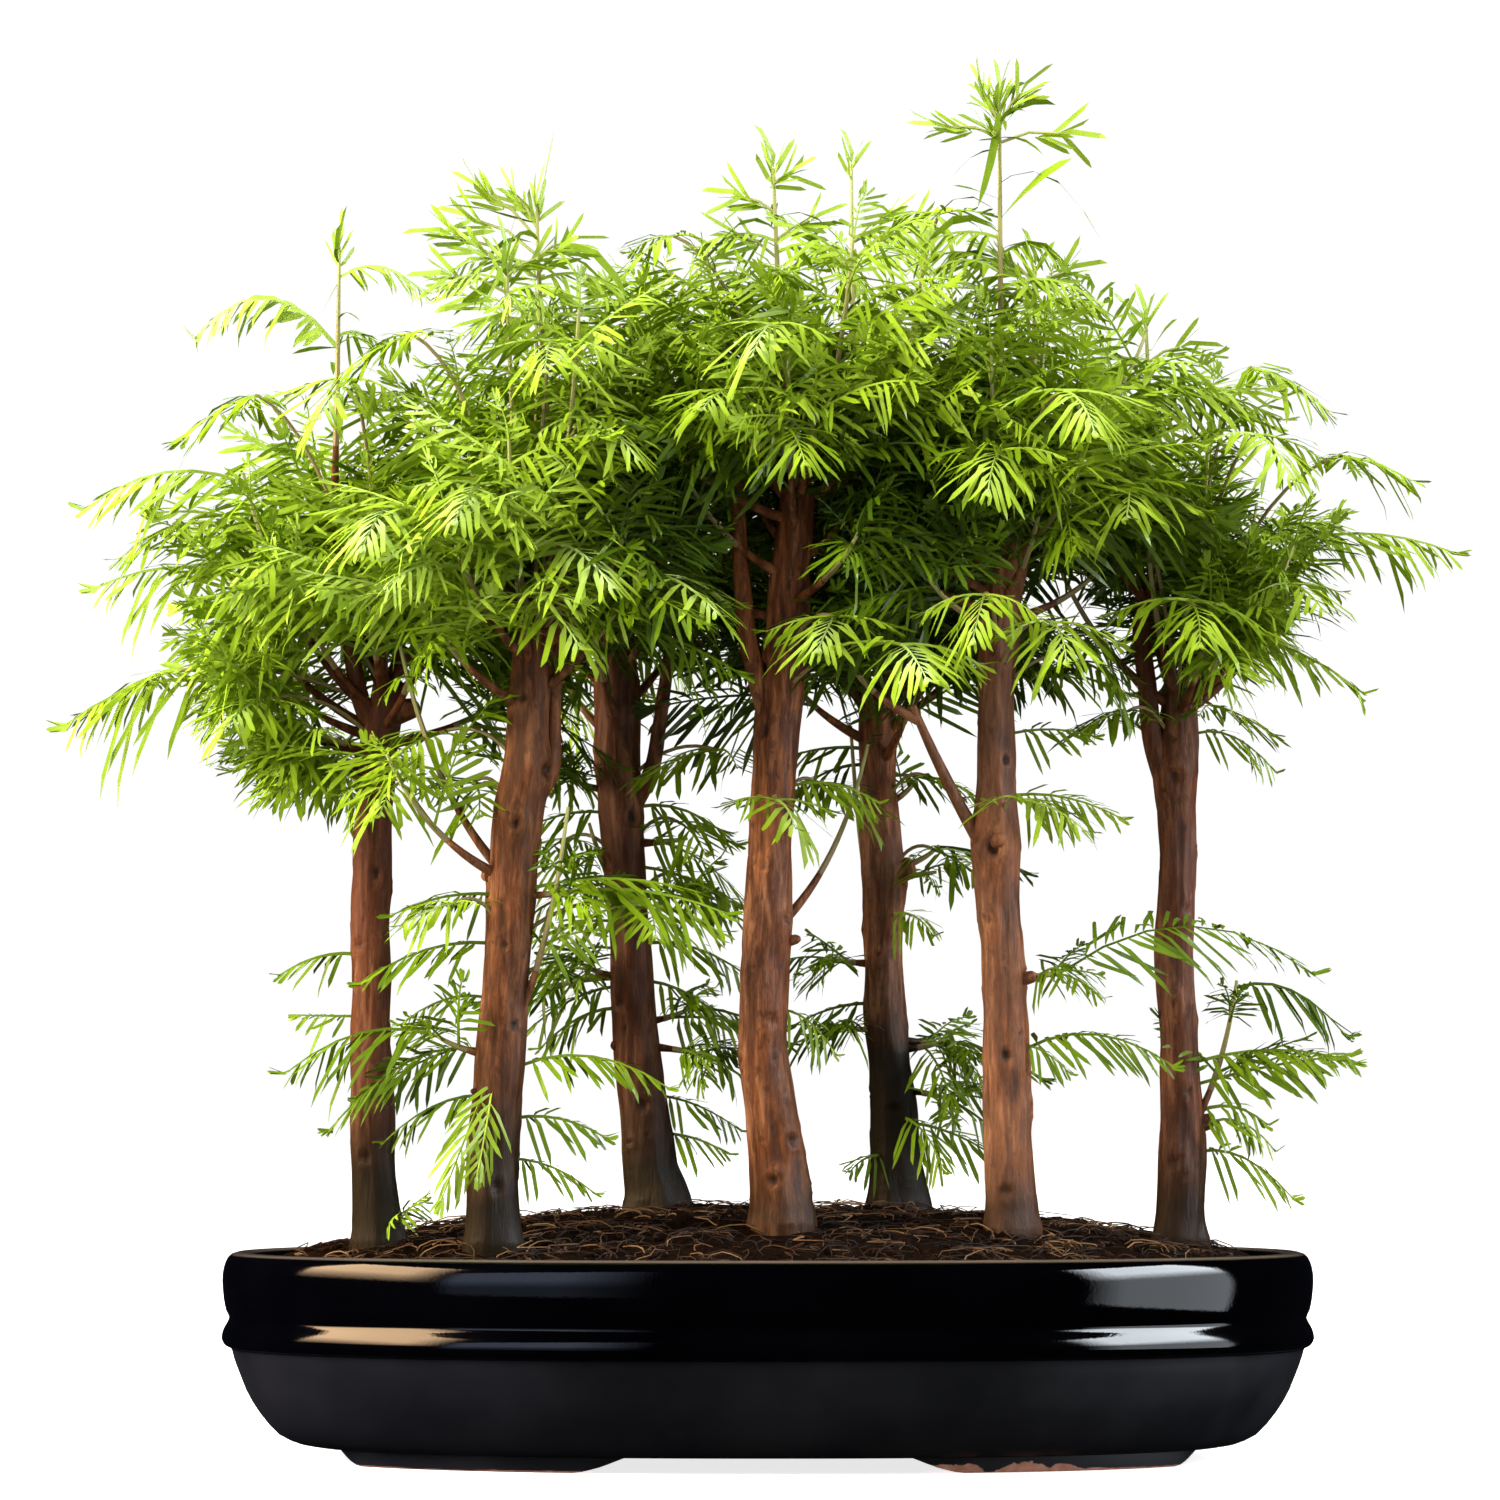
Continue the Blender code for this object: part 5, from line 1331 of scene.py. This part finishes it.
def addTuft(bm, start, direction, length, draw):
    # a short side shoot with young leaves round its end
    end = start + direction * length
    path = [(start, 0.6 * mm), (start.lerp(end, 0.5) + up * 0.1 * length, 0.55 * mm), (end, 0.5 * mm)]
    addTo(bm, greenStem(path, 5, direction.cross(up), 0.7))
    size = draw.uniform(14, 18) * mm
    tuft = draw.choice(tufts)
    frond = (end - direction * 0.2 * size, direction, size, 0.05, draw.uniform(-1, 1), 0)
    addFrond(bm, tuft, frond, draw.uniform(0.7, 0.9), draw)


def addShoot(bm, tree, spray, seed, leader=None, tip=None):
    draw = random.Random(seed * 17 + 3)
    shoot = Shoot(tree, spray)
    wood = woodRule["share"]
    first, last = shootRule["greenRadius"]
    path = [(shoot.at(wood + (1 - wood) * k / 10), first + (last - first) * k / 10) for k in range(11)]
    addTo(bm, greenStem(path, 6, up, 0.2, 0.5))
    fronds = leaderFronds(shoot, leader["fronds"], seed) if leader else frondsOf(shoot, seed, tip)
    for k, frond in enumerate(fronds):
        chosen = tip and k == 0
        frond = frond if leader or chosen else keptInside(frond)
        if frond:
            small = leader or frond[0].z < crownBox["low"] and not chosen
            template = nearest(frondKinds["low" if small else "crown"], frond[2], draw)
            addFrond(bm, template, frond, freshAndShadeOf(frond), draw, 0.74 if leader else draw.uniform(0.8, 1.1))
    if not leader:
        return
    for frond in leaderFronds(shoot, leader["straps"], seed):
        addFrond(bm, draw.choice(straps), frond, draw.uniform(0.3, 0.65), draw)
    for height, azimuth, rise, length in leader["tufts"]:
        addTuft(bm, shoot.at(shareAt(shoot, height * mm)), aimed(azimuth, rise), length * mm, draw)
    addTuft(bm, shoot.at(0.98), shoot.along(1), 6 * mm, draw)


def addLone(bm, tree, lone, seed):
    draw = random.Random(seed)
    stem, leave, azimuth, rise, length, droop, tone = lone
    direction = aimed(azimuth, rise)
    root = onStem(tree, stem, leave * mm) + aimed(azimuth, 0) * 6 * mm
    turned = math.copysign(draw.uniform(0.3, 0.85), direction.x)  # its upper side is turned to the front
    frond = (root, direction, length * mm, droop, turned, 0.4)
    addFrond(bm, nearest(frondKinds["low"], frond[2], draw), frond, tone * 0.56, draw, 0.95)


def addFan(bm, tree, fan, seed):
    # a hanging cluster of three young fronds at the end of a thin stalk
    draw = random.Random(seed)
    x, z, y, azimuth, length, tone = fan
    target = trueSpot(x, z, y)
    leave = min(target.z - 0.015, trunkPoints(tree)[-1].z - 0.004)
    shoot = Shoot(tree, (0, leave / mm, 0, 0, 0, length))
    shoot.end = target
    level = Vector((target.x - shoot.start.x, target.y - shoot.start.y, 0))
    shoot.bend = shoot.start + level * 0.45 + up * (target.z - shoot.start.z + 0.012) * 0.8
    addTo(bm, greenStem([(shoot.at(k / 10), (0.8 - 0.02 * k) * mm) for k in range(11)], 6, up, 0.3))
    for turn, part, rise, light in ((0, 1.0, -0.15, 0.86), (-80, 0.7, 0.15, 0.68), (75, 0.72, 0.1, 0.68)):
        direction = aimed(azimuth + turn + draw.uniform(-10, 10), rise + draw.uniform(-0.1, 0.1))
        frond = (target, direction, 0.95 * length * part * mm, draw.uniform(0.25, 0.45),
                 draw.uniform(-0.25, 0.25), 0.2)
        addFrond(bm, nearest(frondKinds["fan"], frond[2], draw), frond, tone * light, draw, 1.0, 0.9)


def makeSpray(name, tree, number, i):
    # what a spray of the CAD carries, with its share of the tree's other shoots and fans
    bm = bmesh.new()
    bm.verts.layers.float.new("freshAndShade")
    count = len(sprays[name])
    leader = leaderRule[name] if i + 1 in leaders.get(name, []) else None
    addShoot(bm, tree, sprays[name][i], 100 * number + i, leader, tips.get(name, {}).get(i + 1))
    for k, extra in enumerate(extraShoots[name]):
        if k % count == i:
            addShoot(bm, tree, extra, 100 * number + 50 + k)
    if i == 0:
        for k, second in enumerate(secondLeaders.get(name, [])):
            addShoot(bm, tree, second, 100 * number + 80 + k, secondLeaderRule)
        for k, lone in enumerate(loneFronds[name]):
            addLone(bm, tree, lone, 700 * number + k)
    for k, fan in enumerate(fans[name]):
        if k % count == i:
            addFan(bm, tree, fan, 900 * number + k)
    node = f"{name}_spray_{i + 1}"
    newPiece(node + "_leaves", bm, [leafLook, shootLook], [node], smooth=False)


print("tray")
makeTray()
finishScreens()
print("soil")
draw = random.Random(5)
soilLook = soilMaterial()
makeSoil(soilLook)
makeFibres(draw, fibreMaterial())
makeClods(draw, soilLook)
print("wood")
extraShoots = {name: fillShoots(name, tree) + lowShoots.get(name, []) for name, tree in trees.items()}
for number, (name, tree) in enumerate(trees.items(), 1):
    makeWood(name, tree, number)
print("foliage")
leafLook = leafMaterial()
shootLook = stemMaterial()
frondKinds = {}
for sort, (sizes, leaflet, pitch, wide, seed) in frondSorts.items():
    frondKinds[sort] = [frondTemplate(size * mm, seed + size + turn, leaflet, pitch, wide)
                        for size in sizes for turn in (0, 1)]
straps = [strapTemplate(28 * mm, 3 + turn) for turn in (0, 1)]
tufts = [tuftTemplate(16 * mm, 8 + turn, 11 + turn) for turn in (0, 1, 2)]
for number, (name, tree) in enumerate(trees.items(), 1):
    for i in range(len(sprays[name])):
        makeSpray(name, tree, number, i)
for template in sum(frondKinds.values(), straps + tufts):
    bpy.data.meshes.remove(template["mesh"])


# Camera, light and floor

studio = {
    "sky": (0.85, 0.81, 0.75),  # what lights the object from all round
    "backdrop": (1.02, 1.02, 1.02),  # what the camera sees
    "mirrored": (0.004, 0.0045, 0.006),  # what the glaze mirrors between the windows
    "floorHalf": 12,
    "floorColour": (0.92, 0.92, 0.92, 1),
    "floorGlow": 0.78,
}
# place, size, power, colour and the height that it is turned to
lamps = {
    "keyLight": ((-1.6, -1.1, 1.2), 0.8, 82, (1.0, 0.95, 0.87), 0.25),
    "topLight": ((0.1, -0.3, 2.0), 1.5, 44, (1, 1, 0.96), 0.25),
    "backLight": ((0.7, 1.6, 1.3), 1.2, 72, (1, 1, 1), 0.25),
    "leftLight": ((-1.62, -0.10, 0.40), 0.9, 58, (1.0, 0.93, 0.84), 0.2),
    "rightLight": ((1.60, -0.10, 0.36), 1.1, 34, (1.0, 0.94, 0.92), 0.2),
}
# the windows that the glaze mirrors, left, right and in front, by two corners in metres. Their light fades at
# the sides, brightens between two heights and has only a share of its strength below
windows = {
    "warm_window": {"low": (-1.62, -1.35, 0.05), "high": (-1.62, 0.22, 1.75), "strength": 13,
                    "colour": (1.0, 0.66, 0.38), "axis": "Y", "sides": (-1.35, -0.9, 0.14, 0.22),
                    "levels": (0.35, 0.85), "below": 0.0},
    "cool_window": {"low": (1.60, -1.45, -0.40), "high": (1.60, 0.08, 1.60), "strength": 15,
                    "colour": (0.86, 0.93, 1.0), "axis": "Y", "sides": (-1.45, -1.05, 0.0, 0.08),
                    "levels": (0.45, 0.8), "below": 0.16},
    "front_window": {"low": (-2.3, -1.9, -0.2), "high": (-0.40, -1.9, 1.60), "strength": 1.3,
                     "colour": (0.60, 0.72, 1.0), "axis": "X", "sides": (-2.3, -2.0, -0.9, -0.40),
                     "levels": (0.2, 0.7), "below": 0.25},
}


def turned(thing, place, target):
    thing.location = place
    thing.rotation_mode = "QUATERNION"
    thing.rotation_quaternion = (Vector(target) - Vector(place)).to_track_quat("-Z", "Y")


def makeLamp(name, place, size, power, colour, height):
    light = bpy.data.lights.new(name, "AREA")
    light.shape = "RECTANGLE"
    light.size = size
    light.size_y = size
    light.energy = power
    light.color = colour
    lamp = placed(name, light)
    turned(lamp, place, (0, 0, height))
    lamp.visible_glossy = False


def windowLook(name, window):
    material, tree, shader = nodesOf(name, 1.0)
    shader.inputs["Base Color"].default_value = (0, 0, 0, 1)
    shader.inputs["Emission Color"].default_value = (*window["colour"], 1)
    across = coordinate(tree, window["axis"])
    leftDark, leftBright, rightBright, rightDark = window["sides"]
    left = rangeOf(tree, across, leftDark, leftBright, 0, window["strength"])
    right = rangeOf(tree, across, rightDark, rightBright, 0, 1)
    height = rangeOf(tree, coordinate(tree, "Z"), *window["levels"], window["below"], 1)
    light = calculated(tree, "MULTIPLY", calculated(tree, "MULTIPLY", left, right), height)
    link(tree, light, shader.inputs["Emission Strength"])
    return material


def makeWindow(name, settings):
    low, high = settings["low"], settings["high"]
    sheet = bmesh.new()
    bmesh.ops.create_grid(sheet, x_segments=1, y_segments=1, size=0.5)
    for vert in sheet.verts:
        across, rise = vert.co.x + 0.5, vert.co.y + 0.5
        vert.co = [a + (b - a) * share for a, b, share in zip(low, high, (across, across, rise))]
    window = placed(name, meshOf(name, sheet))
    window.data.materials.append(windowLook(name + "_light", settings))
    window.visible_camera = False
    window.visible_diffuse = False
    window.visible_shadow = False


def makeFloor():
    sheet = bmesh.new()
    bmesh.ops.create_grid(sheet, x_segments=1, y_segments=1, size=studio["floorHalf"])
    floor = placed("floor", meshOf("floor", sheet))
    material, tree, shader = nodesOf("pale_floor", 0.9)
    shader.inputs["Base Color"].default_value = studio["floorColour"]
    shader.inputs["Emission Color"].default_value = (1, 1, 1, 1)
    shader.inputs["Emission Strength"].default_value = studio["floorGlow"]
    floor.data.materials.append(material)
    floor.visible_glossy = False
    floor.visible_diffuse = False


print("camera and light")
cameraData = bpy.data.cameras.new("camera")
cameraData.sensor_width = view["sensor"]
cameraData.lens = view["sensor"] * view["distance"] / view["width"]
cameraData.clip_end = 100
camera = placed("camera", cameraData)
place = trayPlace + Vector((view["aim"].x, -view["distance"], view["height"]))
turned(camera, place, trayPlace + view["aim"])
bpy.context.scene.camera = camera

world = bpy.data.worlds.new("studio")
bpy.context.scene.world = world
world.use_nodes = True
rays = world.node_tree.nodes.new("ShaderNodeLightPath")
seen = mixed(world.node_tree, rays.outputs["Is Camera Ray"], studio["sky"], studio["backdrop"])
seen = mixed(world.node_tree, rays.outputs["Is Glossy Ray"], seen, studio["mirrored"])
link(world.node_tree, seen, world.node_tree.nodes["Background"].inputs["Color"])

for name, lamp in lamps.items():
    makeLamp(name, *lamp)
for name, window in windows.items():
    makeWindow(name, window)
makeFloor()
bpy.context.scene.view_settings.view_transform = "Standard"

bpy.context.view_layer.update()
counts = {o.name: sum(len(p.vertices) - 2 for p in o.data.polygons) for o in bpy.data.objects
          if o.type == "MESH" and o.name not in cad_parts}
print("triangles", sum(counts.values()), "most", max(counts.items(), key=lambda item: item[1]))
